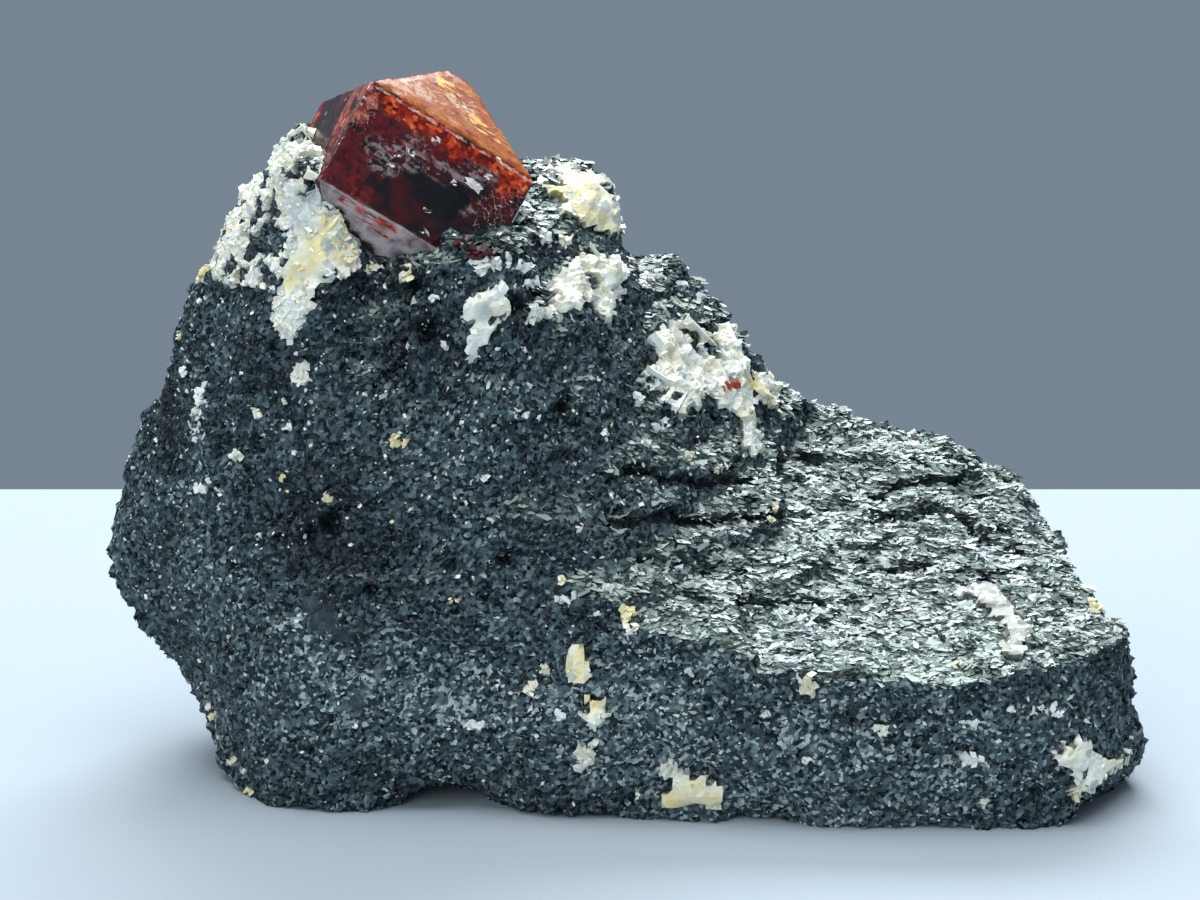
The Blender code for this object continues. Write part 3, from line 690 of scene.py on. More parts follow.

# %% [markdown]
# Noise alone would break the rock the same way everywhere. Real schist has long cracks that open
# along the sheets, gaps, places where one whole sheet of mica shows, and a grooved stretch by the
# crystal. Cracks and gaps are also painted dark, as painted shade, and broad parts are painted
# darker or paler, as painted light and shade. These are set one by one.

# %% Marks on the schist
CRACKS = (     # half width, then the places in the picture that the line runs through
    (0.8, (618, 517), (690, 520), (744, 515), (830, 508)),
    (0.8, (868, 497), (900, 483), (930, 477), (962, 482), (985, 498)),
    (1.5, (880, 516), (930, 508), (965, 520), (1000, 548)),
    (0.8, (780, 462), (802, 454), (822, 458)),
    (0.6, (700, 596), (760, 604), (830, 600)),
    (0.6, (860, 560), (930, 566), (990, 580)),
    (0.5, (640, 560), (720, 566), (790, 560)),
    (0.7, (630, 470), (690, 482), (760, 478)),
    (0.6, (1000, 520), (1030, 560), (1050, 590)),
)
# the gaps are carved, and also painted dark as painted shade
HOLES = (       # dark gaps: place in the picture, radius in millimetres
    (540, 291, 1.1), (522, 301, 1.0), (505, 560, 0.7), (447, 566, 0.6), (310, 535, 0.9),
    (330, 525, 1.2), (372, 588, 0.8), (410, 285, 1.2), (430, 330, 1.3), (565, 405, 1.0),
    (488, 236, 2.4), (512, 222, 1.8),
)
PLATES = (      # where a whole flat sheet of mica shows on the broken front
    (310, 602, 1.0), (328, 618, 1.1), (345, 632, 0.8), (160, 580, 1.0), (360, 700, 1.0),
)
CURTAIN = ((445, 350, 7.5), (500, 420, 6.0), (420, 290, 4.5))       # where the front is grooved
# painted light and shade: paler and darker spots on the broken front
LIGHT_AND_SHADE_SPOTS = (       # where the broken front is darker or paler: place, radius, how much
    (330, 520, 8.0, -0.22), (400, 300, 8.0, -0.16), (540, 400, 6.0, 0.08), (165, 420, 6.0, -0.30),
    (545, 480, 7.0, -0.06), (430, 440, 6.0, 0.03), (260, 380, 5.0, -0.15), (450, 740, 8.0, 0.10),
    (300, 700, 9.0, 0.12), (240, 640, 8.0, 0.08), (600, 690, 9.0, 0.12), (720, 750, 12.0, 0.11),
    (870, 760, 14.0, 0.12), (1030, 740, 12.0, 0.11), (560, 760, 8.0, 0.10), (420, 670, 9.0, 0.12),
    (545, 225, 4.0, -0.25), (545, 168, 3.0, -0.35), (590, 162, 4.0, -0.35),
)


def painted_light_and_shade():
    """How much painted light makes each net point paler, or painted shade darker: the sum of broad
    soft spots.
    """
    total = np.zeros(len(NET_POINTS))
    for across, down, radius, amount in LIGHT_AND_SHADE_SPOTS:
        total += amount * ramp(near_spots(NET_POINTS, [(across, down, radius)]), 0.0, 0.8)
    return total


LIGHT_AND_SHADE = painted_light_and_shade()
print(f"tones from {LIGHT_AND_SHADE.min():.2f} to {LIGHT_AND_SHADE.max():.2f}")

# %% [markdown]
# The relief is a sum of heights along the surface's own direction. Scales belong to the ledge and
# hackle to the front, and both come from the facet relief: its cells are stretched along the
# sheets for scales, and short for hackle.

# %% Relief of the schist
TERRACE = 1.1            # height of one terrace
SCALE_SIZE = np.array((1.9, 1.1, 0.6))     # a scale of the ledge: along, across, through
HACKLE_SIZE = np.array((0.95, 0.8, 0.6))   # a flake end of the front
BREAK_SIZE = np.array((2.6, 2.0, 1.5))     # a broader step of the break
PIT_DEPTH = 0.45
GROOVE_DEPTH = 0.45
GROOVE_SHAPE = np.array((1.0, 1.0, 0.22))      # grooves run upright, so height counts least
CRACK_DEPTH = 0.75
BEND = 0.5               # how far spots and lines are bent, so that none is a true circle


def swelling(points):
    """The broad lumps of the block, which rock and calcite share: noise at 1.9 and 4.2 mm."""
    lumps = 0.16 * smooth_noise(points, size=1.9, salt=26)
    return lumps + 0.36 * smooth_noise(points, size=4.2, salt=29)


def bent_places(points):
    """Points pushed along a slant by noise; spots measured from them get wavy edges."""
    return points + BEND * smooth_noise(points, size=1.5, salt=28)[:, None]


def schist_relief(points, facing):
    """Where the schist's broken surface lies.

    Out = scales on the ledge, or hackle, lumps and grooves on the front, less pits, cracks and
    holes. The terraces are a saw tooth along the sheets' normal: a slope, then a short riser.
    """
    flat = lies_flat(facing)
    sheets = in_sheets(points)
    level = sheets[:, 2] / TERRACE + 1.5 * smooth_noise(points, size=9.0, salt=11)
    level += 0.5 * smooth_noise(points, size=3.0, salt=12)
    share = level - np.floor(level)
    terrace = (ramp(share, 0.72, 0.95) - share) * TERRACE * 0.5 * flat
    scales = facets(sheets, SCALE_SIZE, salt=21, lean=0.20, step=0.13)
    scales += facets(sheets, SCALE_SIZE * 0.5, salt=22, lean=0.3, step=0.08)
    hackle = facets(sheets, HACKLE_SIZE, salt=23, lean=0.27, step=0.06)
    hackle += facets(points, size=0.55, salt=24, lean=0.36, step=0.03)
    hackle += facets(sheets, BREAK_SIZE, salt=30, lean=0.24, step=0.10)
    pits = ramp(smooth_noise(points, size=3.2, salt=25), 0.45, 0.8) * PIT_DEPTH
    grooves = GROOVE_DEPTH * smooth_noise(points * GROOVE_SHAPE, size=0.9, salt=27)
    grooves *= ramp(near_spots(points, CURTAIN), 0.0, 0.5)
    bent = bent_places(points)
    cracks = CRACK_DEPTH * ramp(near_lines(bent, CRACKS), 0.0, 1.0)
    holes = ramp(near_spots(bent, HOLES), 0.0, 0.9)
    plate = ramp(near_spots(bent, PLATES), 0.0, 0.3)
    out = scales * flat + (hackle * (1.0 - 0.9 * plate) + swelling(points) + grooves) * (1.0 - flat)
    out -= pits * (1.0 - 0.5 * flat) + cracks + holes
    return points + facing * out[:, None] + SHEET_NORMAL * terrace[:, None]


# %% [markdown]
# Where rock meets crystal no gap may show, and no rock may cut into the crystal. So near the
# crystal the rim of its pocket is moved square to the crystal's nearest face until it touches.
# The skin also sinks a little where calcite lies over it.

# %% The skin of the schist
TOUCH = 0.03             # the rock stops this far short of the crystal
DRAWN_IN = (0.35, 1.3)   # gaps from which on less of the gap is closed, and none
SUNK = 0.35              # how deep the schist sinks under calcite


def against_crystal(points):
    """Draw the rim of the pocket up to the crystal, and keep everything outside it.

    A point moves in by its gap to the crystal, times a share: all of it where the gap is small,
    and none where it is wide. A point inside the crystal moves out by all of it.
    """
    away, face = from_crystal(points)
    pull = (away - TOUCH) * (1.0 - ramp(away, *DRAWN_IN))
    pull = np.where(away < TOUCH, away - TOUCH, pull)
    return points - PLANES[face] * pull[:, None]


def above_floor(points):
    """Nothing reaches below the face that the block rests on."""
    points[:, 2] = np.maximum(points[:, 2], 0.0)
    return points


def places_dark_and_plain():
    """How deep in a crack or a hole each net point lies, where painted shade goes, and how far on a
    whole sheet of mica.
    """
    bent = bent_places(NET_POINTS)
    hollow = ramp(np.maximum(near_lines(bent, CRACKS), near_spots(bent, HOLES)), -0.2, 0.5)
    return hollow, ramp(near_spots(bent, PLATES), 0.0, 0.3)


HOLLOW, PLATE = places_dark_and_plain()
print(f"{np.mean(HOLLOW > 0.5):.1%} of the net lies in cracks and gaps")


def halves(squares):
    """Each square as two triangles."""
    return np.concatenate([squares[:, (0, 1, 2)], squares[:, (0, 2, 3)]])


def make_schist_skin():
    """The schist's skin, sunk under the calcite that covers it."""
    points = schist_relief(NET_POINTS, NET_FACING)
    sunk = ramp(CALCITE_SHARE, 0.45, 0.8) * SUNK
    points = above_floor(against_crystal(points - NET_FACING * sunk[:, None]))
    mesh = put_mesh("schist_skin", points, halves(NET_SQUARES))
    put_values(mesh, "flat", lies_flat(NET_FACING))
    put_values(mesh, "hollow", HOLLOW)
    put_values(mesh, "plate", PLATE)
    put_values(mesh, "tone", LIGHT_AND_SHADE)
    return points, mesh


SKIN_POINTS, SKIN_MESH = make_schist_skin()

# %% [markdown]
# ## The look of mica
# Biotite is nearly black with a green cast, and each flake is a small mirror. The colour comes
# from cells the size of flakes: most are dark, a few pale. The same cells lean the surface's
# direction, so neighbouring flakes catch the light one at a time. On the ledge the flakes lie
# flat and are painted a paler grey-green, in part a painted sheen of the light that they mirror.

# %% Schist material
DARK_FLAKES = ((0.0, (0.001, 0.002, 0.003)), (0.26, (0.004, 0.009, 0.013)),
               (0.50, (0.029, 0.047, 0.058)), (0.74, (0.071, 0.110, 0.125)),
               (0.88, (0.15, 0.21, 0.22)), (1.0, (0.40, 0.48, 0.48)))
# the ledge's pale flakes: their paleness is in part a painted sheen
PALE_SHEEN_FLAKES = ((0.0, (0.005, 0.010, 0.010)), (0.30, (0.036, 0.056, 0.054)),
               (0.62, (0.15, 0.195, 0.175)), (1.0, (0.42, 0.50, 0.43)))
WHOLE_SHEET = ((0.016, 0.024, 0.030), (0.062, 0.080, 0.098))       # its darkest and its palest
CURLED_EDGE = (0.16, 0.20, 0.20)
# painted shade in cracks and gaps
GAP_SHADE = (0.003, 0.006, 0.007)
FLAKE_CELL = 0.30        # width of a flake in the pattern
SHEET_CELL = 0.90        # width of a patch of one shade on a whole sheet
MICA_SHINE = 0.15
MICA_TINT = (0.80, 0.95, 1.0)


def schist_material():
    """Dark green-grey mica, glittering cell by cell."""
    paint = Paint("schist")
    flat = paint.kept("flat")
    colour, pick, other = paint.cells(FLAKE_CELL)
    cloud = paint.noise(7.0)
    # painted light and shade from the broad spots lift or lower the dark flakes
    dark = paint.scale(pick * 0.9 + (cloud - 0.5) * 0.5 + paint.kept("tone"), DARK_FLAKES)
    # where a surface lies flat its pale colour is in part a painted sheen
    pale = paint.scale(pick + (cloud - 0.5) * 0.5, PALE_SHEEN_FLAKES)
    base = paint.mixed(flat, dark, pale)
    curl = (paint.noise(0.6, detail=3.0, warp=1.5) - 0.5).size()
    base = paint.mixed(curl.ramp(0.03, 0.0) * (other * 0.6), base, opaque(CURLED_EDGE))
    sheet = paint.mixed(paint.cells(SHEET_CELL)[1], *(opaque(ends) for ends in WHOLE_SHEET))
    base = paint.mixed(paint.kept("plate") * (1 - flat), base, sheet)
    # painted shade: cracks and gaps are darkened nearly to black
    base = paint.mixed(paint.kept("hollow") * 0.85, base, opaque(GAP_SHADE))
    sockets = {"Base Color": base, "Roughness": other * 0.25 + 0.22, "IOR": 1.6,
               "Specular IOR Level": MICA_SHINE, "Specular Tint": opaque(MICA_TINT),
               "Normal": paint.tilted(colour, 0.9)}
    return paint.finish(paint.shader(sockets))


SCHIST_PAINT = schist_material()
add_piece("schist_skin", SKIN_MESH, SCHIST_PAINT, [SCHIST])

# %% [markdown]
# ## Loose flakes
# On top of the skin lie thousands of separate flakes. A flake is a flat, five-cornered plate
# with one point below its middle, so it is a closed body of eight triangles with a thin, sharp
# edge. All of them are worked out together: places are drawn on the skin in proportion to area
# and to how many flakes a spot should have, and each plate is turned by its own two directions.

# %% Scattered flakes
CORNERS = 5


def scattered(points, triangles, weight, count, dice):
    """Random places on a surface, more where the weight is high; returns places and triangles.

    Two random shares r and s give the place a + sqrt(r)((b - a) + s(c - b)) in a triangle abc.
    """
    area = np.linalg.norm(face_normals(points, triangles), axis=1) * weight
    picked = np.searchsorted(np.cumsum(area) / area.sum(), dice.random(count))
    a, b, c = (points[triangles[picked, k]] for k in range(3))
    r = np.sqrt(dice.random(count))[:, None]
    s = dice.random(count)[:, None]
    return a + r * ((b - a) + s * (c - b)), picked


def plates(places, up, along, sizes, dice):
    """Flat plates, each a ring of corners round its place and a point below its middle.

    Corner k lies at the angle 2 pi k / corners, at the plate's half length along `along` and its
    half width across it, both times a random share; the point below is a thickness down.
    """
    up = unit(up)
    along = unit(along - up * (along * up).sum(axis=1, keepdims=True))
    across = np.cross(up, along)
    count = len(places)
    angles = (np.arange(CORNERS) + dice.random((count, CORNERS)) * 0.6) * 2.0 * np.pi / CORNERS
    far = 0.65 + 0.45 * dice.random((count, CORNERS))
    ring = (places[:, None] + along[:, None] * (np.cos(angles) * far * sizes[:, :1])[:, :, None]
            + across[:, None] * (np.sin(angles) * far * sizes[:, 1:2])[:, :, None])
    below = places - up * sizes[:, 2:3]
    points = np.concatenate([ring, below[:, None]], axis=1).reshape(-1, 3)
    lid = [(0, k, k + 1) for k in range(1, CORNERS - 1)]
    sides = [((k + 1) % CORNERS, k, CORNERS) for k in range(CORNERS)]
    pattern = np.array(lid + sides)
    faces = pattern[None] + (np.arange(count) * (CORNERS + 1))[:, None, None]
    return points, faces.reshape(-1, 3)


def tile_map(mesh, count, corners):
    """A map of the surface with one small tile for each body, its corners on a circle in it."""
    side = math.ceil(math.sqrt(count))
    tile = np.arange(count)
    start = np.stack([tile % side, tile // side], axis=-1)[:, None] / side
    angles = np.arange(corners) * 2.0 * np.pi / corners
    circle = np.stack([0.5 + 0.42 * np.cos(angles), 0.5 + 0.42 * np.sin(angles)], axis=-1)
    spots = (circle[None] / side + start).reshape(-1, 2)
    loops = read_array(mesh.loops, "vertex_index", 1, np.int32)[:, 0]
    layer = mesh.uv_layers.new(name="OFBake")
    layer.uv.foreach_set("vector", spots[loops].ravel().astype(np.float32))


def add_bodies(name, points, faces, corners, shades, paint):
    """Show many small bodies as one piece; each keeps one number, its shade."""
    mesh = put_mesh(name, points, faces)
    put_values(mesh, "shade", np.repeat(shades, corners))
    tile_map(mesh, len(shades), corners)
    return add_piece(name, mesh, paint)


# %% [markdown]
# The flakes' material needs no pattern as small as a flake, because each plate keeps one number,
# its shade. Dark shades are clean biotite; the pale ones of the ledge are in part a painted sheen.

# %% Mica flakes
LEDGE_FLAKES = 16000
FRONT_FLAKES = 20000
SILVER_SPOTS = (     # where paler flakes gather: place in the picture, radius in millimetres
    (560, 245, 3.5), (590, 240, 2.5), (530, 255, 2.5), (650, 285, 3.0), (690, 305, 3.0),
    (600, 470, 2.5), (590, 520, 2.2), (600, 570, 2.6), (620, 600, 2.0), (640, 560, 2.5),
    (500, 215, 1.5), (225, 330, 2.0), (700, 460, 3.0),
)
SKIN_TRIANGLES = halves(NET_SQUARES)
BARE = CALCITE_SHARE[SKIN_TRIANGLES].max(axis=1) < 0.5


def flake_material(name, stops, shine):
    """A flake's colour follows its shade, mottled a little within the flake."""
    paint = Paint(name)
    shade = paint.kept("shade")
    mottle = (paint.noise(0.35) - 0.5) * 0.2 + (paint.noise(7.0) - 0.5) * 0.5
    base = paint.scale(shade + mottle, stops)
    sockets = {"Base Color": base, "Roughness": shade * 0.22 + 0.16, "IOR": 1.6,
               "Specular IOR Level": shine, "Specular Tint": opaque(MICA_TINT)}
    return paint.finish(paint.shader(sockets))


def make_flakes(name, count, weight, sizes, lean, sheet_pull, paint, seed):
    """Scatter mica flakes that face between the skin's own direction and the sheets' normal.

    A flake's direction = skin's (1 - pull) + sheets' pull + a random lean. Its sizes are half its
    length, half its width and its thickness, all times one random share from 0.6 to 1.4.
    """
    dice = np.random.default_rng(seed)
    places, picked = scattered(SKIN_POINTS, SKIN_TRIANGLES, weight, count, dice)
    facing = unit(NET_FACING[SKIN_TRIANGLES[picked, 0]])
    up = facing * (1.0 - sheet_pull) + SHEET_NORMAL * sheet_pull
    up = unit(up + dice.normal(0.0, lean, (count, 3)))
    hang = ramp(near_spots(places, CURTAIN), 0.0, 0.4)[:, None]
    along = SHEET_STRIKE + hang * np.array((-1.0, 0.0, 2.0)) + dice.normal(0.0, 0.5, (count, 3))
    half = np.array(sizes) * (0.6 + 0.8 * dice.random((count, 1)) ** 1.5)
    places = places + facing * (0.01 + 0.05 * dice.random((count, 1)))
    points, faces = plates(places, up, along, half, dice)
    silver = ramp(near_spots(places, SILVER_SPOTS), 0.0, 0.6) * dice.random(count)
    first = SKIN_TRIANGLES[picked, 0]
    # painted light and shade from the broad spots, and painted shade in cracks and gaps, make each
    # flake paler or darker
    shades = (dice.random(count) + 0.4 * silver + LIGHT_AND_SHADE[first]) * (1.0 - 0.9 * HOLLOW[first])
    return add_bodies(name, above_floor(points), faces, CORNERS + 1, shades, paint)


def flake_weights():
    """How densely flakes lie on each triangle: on the ledge, and on the broken faces.

    With f from 0 to 1 for how flat a triangle lies, that is f squared and 1 - f, and none of
    them on calcite, by the crystal, near the floor, deep in gaps or on a whole sheet.
    """
    flat = lies_flat(NET_FACING)[SKIN_TRIANGLES].mean(axis=1)
    high = SKIN_POINTS[SKIN_TRIANGLES[:, 0], 2]
    clear = from_crystal(SKIN_POINTS)[0][SKIN_TRIANGLES].min(axis=1) > 0.25
    bare = (BARE & clear & (high > 0.15)) * (1.0 - 0.5 * HOLLOW[SKIN_TRIANGLES[:, 0]])
    return bare * flat ** 2, bare * (1.0 - flat) * (1.0 - 0.95 * PLATE[SKIN_TRIANGLES[:, 0]])


ON_LEDGE, ON_FRONT = flake_weights()
make_flakes("mica_ledge", LEDGE_FLAKES, ON_LEDGE, sizes=(0.62, 0.24, 0.14), lean=0.18,
            sheet_pull=0.6, paint=flake_material("mica_pale_sheen", PALE_SHEEN_FLAKES, shine=0.5), seed=5)
make_flakes("mica_front", FRONT_FLAKES, ON_FRONT, sizes=(0.23, 0.11, 0.09), lean=0.17,
            sheet_pull=0.2, paint=flake_material("mica_dark", DARK_FLAKES, shine=0.22), seed=6)

# %% [markdown]
# ## Calcite
# The calcite bodies are cut from the same net, so their edges match the rock's. Calcite breaks
# into blocks with flat, shining faces; the facet relief with coarse cells gives those. Iron
# stains it yellow in places, and in others it is clear; both are smoother than the rest.

# %% Relief of the calcite
BLOCK = 1.5              # width of a leaning block; a step on it is half as wide
THICK = ("calcite_left", "calcite_knob", "calcite_slope", "calcite_shoulder")  # the rest are films
YELLOW_SPOTS = (     # where iron stains it: place in the picture, radius in millimetres
    (322, 238, 2.6), (305, 262, 1.8), (342, 250, 1.6), (292, 285, 1.2), (345, 262, 0.9),
    (205, 268, 1.2), (215, 250, 1.2), (230, 232, 0.9), (592, 200, 4.2), (606, 222, 2.4),
    (576, 198, 2.4), (560, 190, 1.6), (608, 225, 1.2), (583, 655, 1.6), (575, 670, 1.6),
    (592, 700, 1.2), (668, 800, 1.8), (700, 790, 2.0), (690, 775, 1.4), (720, 800, 1.2),
    (752, 382, 1.4), (764, 392, 1.2), (735, 355, 0.8),
)
CLEAR_SPOTS = (      # where it is clear enough to look grey
    (302, 212, 1.8), (312, 225, 1.2), (484, 312, 0.9), (545, 268, 1.2),
    (985, 592, 4.0), (1015, 620, 3.0), (1025, 648, 2.6), (312, 195, 1.2),
)


def stains(points):
    """How yellow and how clear the calcite is at each point: 1 - distance / radius, or 0."""
    return [np.clip(near_spots(points, spots), 0.0, 1.0) for spots in (YELLOW_SPOTS, CLEAR_SPOTS)]


def calcite_relief(points, facing):
    """Leaning blocks with smaller steps on them, a little above the schist.

    Out = a small rise, more on thick bodies, plus both facet reliefs times a roughness. Thin
    films are less rough, and so is stained and clear calcite.
    """
    coarse = facets(points, BLOCK, salt=61, lean=0.30, step=0.16)
    fine = facets(points, BLOCK / 2.0, salt=62, lean=0.42, step=0.06)
    rim = ramp(CALCITE_SHARE, 0.5, 0.85)
    thick = np.array([name in THICK for name in CALCITES])[CALCITE_BODY]
    rough = (0.4 + 0.6 * thick) * (1.0 - 0.75 * ramp(np.maximum(*stains(points)), 0.0, 0.3))
    out = 0.05 + 0.08 * thick * rim + (coarse + fine) * rough
    out += swelling(points) * (1.0 - lies_flat(facing))
    return points + facing * out[:, None]


# %% [markdown]
# A sheet of surface has no inside, so it is closed before it is shown: a second layer goes under
# it, and a wall runs round its rim. The rim is found by counting: an edge inside the sheet has
# two triangles, and an edge on the rim only one.

# %% Calcite bodies
CALCITE_DEPTH = 0.9      # how far below the first layer the second lies
DULL = ("calcite_ledge",)      # a greyed film


def cut_out(points, faces, keep):
    """The faces that are kept, with only the points they use; returns which points those are."""
    faces = faces[keep]
    used = np.unique(faces)
    return points[used], np.searchsorted(used, faces), used


def thickened(points, faces, facing, depth):
    """Close a sheet of surface into a body: a second layer below it, and a wall round its rim.

    The rim is every edge that only one face uses; each gets two triangles down to the layer.
    """
    sides = np.concatenate([faces[:, (0, 1)], faces[:, (1, 2)], faces[:, (2, 0)]])
    codes = np.sort(sides, axis=1) @ np.array((len(points), 1))
    _, place, uses = np.unique(codes, return_inverse=True, return_counts=True)
    rim = sides[uses[place.ravel()] == 1]
    under = rim + len(points)
    wall = np.concatenate([np.stack([rim[:, 1], rim[:, 0], under[:, 0]], axis=-1),
                           np.stack([rim[:, 1], under[:, 0], under[:, 1]], axis=-1)])
    layers = np.concatenate([points, points - facing * depth])
    return layers, np.concatenate([faces, faces[:, ::-1] + len(points), wall])


def make_calcite_bodies(paint):
    """One piece for each calcite solid."""
    surface = above_floor(against_crystal(calcite_relief(NET_POINTS, NET_FACING)))
    triangles = halves(NET_SQUARES)
    body = CALCITE_BODY[triangles[:, 0]]
    inside = CALCITE_SHARE[triangles].min(axis=1) > 0.5
    yellow, clear = stains(NET_POINTS)
    for k, name in enumerate(CALCITES):
        points, faces, used = cut_out(surface, triangles, inside & (body == k))
        points, faces = thickened(points, faces, NET_FACING[used], CALCITE_DEPTH)
        mesh = put_mesh(name.replace("calcite", "calcite_grain"), points, faces)
        put_values(mesh, "yellow", np.tile(yellow[used], 2))
        put_values(mesh, "clear", np.tile(clear[used], 2))
        put_values(mesh, "dull", np.full(len(points), float(name in DULL)))
        add_piece(mesh.name, mesh, paint, [name])


# %% [markdown]
# Calcite is white where it is fine-grained, greyer where it is clear enough to let light in, and
# stained yellow in patches. Its cleavage faces shine, so here too each cell leans its own way.

# %% Calcite material
WHITE = (0.80, 0.83, 0.76)
CREAM = (0.76, 0.72, 0.52)
YELLOW = (0.75, 0.65, 0.32)
GLASSY = (0.40, 0.46, 0.47)
DUST = (0.32, 0.31, 0.27)
DULL_GREY = (0.22, 0.235, 0.19)
SCATTER = (1.0, 0.8, 0.6)        # how far red, green and blue light go inside, as shares


def calcite_material():
    """White to cream, with yellow stain, glassy patches and scattered grey dust."""
    paint = Paint("calcite")
    colour, pick, other = paint.cells(0.9)
    cloud = paint.noise(2.2, detail=3.0)
    yellow = paint.kept("yellow").ramp(0.0, 0.75) * cloud.ramp(0.25, 0.6)
    clear = paint.kept("clear").ramp(0.0, 0.6)
    base = paint.mixed(cloud.ramp(0.35, 0.7), opaque(WHITE), opaque(CREAM))
    base = paint.mixed(yellow, base, opaque(YELLOW))
    base = paint.mixed(clear.most(pick.ramp(0.82, 0.95)) * 0.75, base, opaque(GLASSY))
    base = paint.mixed(paint.noise(0.5).ramp(0.62, 0.8) * 0.35, base, opaque(DUST))
    base = paint.mixed(paint.kept("dull") * (0.65 + cloud * 0.3), base, opaque(DULL_GREY))
    sockets = {"Base Color": base, "Roughness": other * 0.3 + 0.25, "IOR": 1.6,
               "Subsurface Weight": 0.15, "Subsurface Radius": SCATTER,
               "Subsurface Scale": 0.0006, "Normal": paint.tilted(colour, 0.35)}
    return paint.finish(paint.shader(sockets))


CALCITE_PAINT = calcite_material()
make_calcite_bodies(CALCITE_PAINT)

# %% [markdown]
# ## Calcite grains
# Broken calcite is sugary: it falls into little leaning blocks, because it splits along three
# directions that are not square to each other. Each grain is such a block: a cube's corners,
# carried by three leaning directions. Some thousand sit in the calcite bodies, and the same
# blocks make the chips and specks that are strewn over the schist.

# %% Leaning blocks
CUBE = np.array(list(itertools.product((-1.0, 1.0), repeat=3)))
CUBE_FACES = np.array(((0, 1, 3), (0, 3, 2), (4, 6, 7), (4, 7, 5), (0, 4, 5), (0, 5, 1),
                       (2, 3, 7), (2, 7, 6), (0, 2, 6), (0, 6, 4), (1, 5, 7), (1, 7, 3)))
CLEAVAGE_LEAN = 0.2      # how far calcite's three directions lean towards each other
UPRIGHT_LEAN = 0.45      # how far a grain's upright strays from the surface's direction
GRAIN_SHADES = ((0.0, (0.34, 0.39, 0.41)), (0.12, (0.60, 0.64, 0.62)), (0.40, WHITE),
                (0.70, CREAM), (0.86, YELLOW), (1.0, (0.62, 0.36, 0.12)))
GRAIN_DUST = (0.25, 0.25, 0.22)


def blocks(places, facing, sizes, dice, along=None):
    """Leaning blocks: place + sum of (corner, half size, direction) over three directions.

    The directions start square to each other, roughly upright on the surface or along a given
    line, then each is leaned towards the other two.
    """
    up = unit(facing + dice.normal(0.0, UPRIGHT_LEAN, facing.shape))
    along = unit(np.cross(up, dice.normal(0.0, 1.0, facing.shape)) if along is None else along)
    up = unit(up - along * (up * along).sum(axis=1, keepdims=True))
    frames = np.stack([along, np.cross(up, along), up], axis=1)
    lean = np.eye(3) * (1.0 + CLEAVAGE_LEAN) - CLEAVAGE_LEAN
    directions = np.einsum("jk,nkd->njd", lean, frames)
    points = places[:, None] + np.einsum("cj,nj,njd->ncd", CUBE, sizes, directions)
    faces = CUBE_FACES[None] + (np.arange(len(places)) * len(CUBE))[:, None, None]
    return points.reshape(-1, 3), faces.reshape(-1, 3)


def grain_material():
    """A grain's colour follows its shade: glassy grey, white, cream, then yellow."""
    paint = Paint("calcite_grains")
    base = paint.scale(paint.kept("shade"), GRAIN_SHADES)
    dust = paint.noise(0.45).ramp(0.6, 0.8) * 0.35
    base = paint.mixed(dust, base, opaque(GRAIN_DUST))
    rough = paint.noise(0.8) * 0.3 + 0.1
    sockets = {"Base Color": base, "Roughness": rough, "IOR": 1.6, "Subsurface Weight": 0.15,
               "Subsurface Radius": SCATTER, "Subsurface Scale": 0.0004}
    return paint.finish(paint.shader(sockets))


# %% [markdown]
# The calcite by the crystal is the sugary one: its grains sit close together and hide the sheet
# under them. The others are more solid and have only a few. Stained and clear places are cut
# through whole crystals, so they have fewer grains too, and those take the stain's colour.

# %% Grains on the calcite bodies
GRAINS = 3000            # how many
FEW_GRAINS = 0.12        # how dense they are on a body that is not sugary
GRAIN_SINK = 0.09        # how deep a grain's middle lies
YELLOWEST = 0.88         # the highest shade of a grain
SUGARY = ("calcite_left",)
GRAIN_PAINT = grain_material()


def make_grains():
    """Grains all over the calcite bodies, yellower inside the stained spots.

    Half a grain's size is 0.07 mm plus 0.16 mm times a random share squared, so most are small;
    each of its three directions has its own random share of that, from 0.5 to 1.5.
    """
    dice = np.random.default_rng(8)
    inside = CALCITE_SHARE[SKIN_TRIANGLES].min(axis=1) > 0.5
    clear = from_crystal(NET_POINTS)[0][SKIN_TRIANGLES].min(axis=1) > 0.6
    surface = calcite_relief(NET_POINTS, NET_FACING)
    sugary = np.isin(CALCITE_BODY, [CALCITES.index(name) for name in SUGARY])[SKIN_TRIANGLES[:, 0]]
    smooth = ramp(np.maximum(*stains(NET_POINTS)), 0.0, 0.4)[SKIN_TRIANGLES[:, 0]]
    weight = (inside & clear) * (FEW_GRAINS + sugary) * (1.0 - 0.85 * smooth)
    places, picked = scattered(surface, SKIN_TRIANGLES, weight, GRAINS, dice)
    facing = NET_FACING[SKIN_TRIANGLES[picked, 0]]
    sizes = 0.07 + 0.16 * dice.random((GRAINS, 1)) ** 2.0
    sizes = sizes * (0.5 + dice.random((GRAINS, 3)))
    yellow = ramp(near_spots(places, YELLOW_SPOTS), 0.0, 0.6)
    glassy = ramp(near_spots(places, CLEAR_SPOTS), 0.0, 0.6)
    shades = 0.02 + 0.6 * dice.random(GRAINS) ** 0.7 + yellow * 0.5 * dice.random(GRAINS) ** 0.5
    shades = np.clip(shades - glassy * 0.3, 0.0, YELLOWEST)
    points, faces = blocks(places - facing * GRAIN_SINK, facing, sizes, dice)
    points = above_floor(points)
    add_bodies("calcite_blocks", points, faces, len(CUBE), shades, GRAIN_PAINT)


make_grains()

# %% [markdown]
# Here and there calcite lies on the schist as blades, several times longer than wide. They are
# the same leaning blocks, drawn out from one place on the rock to another.

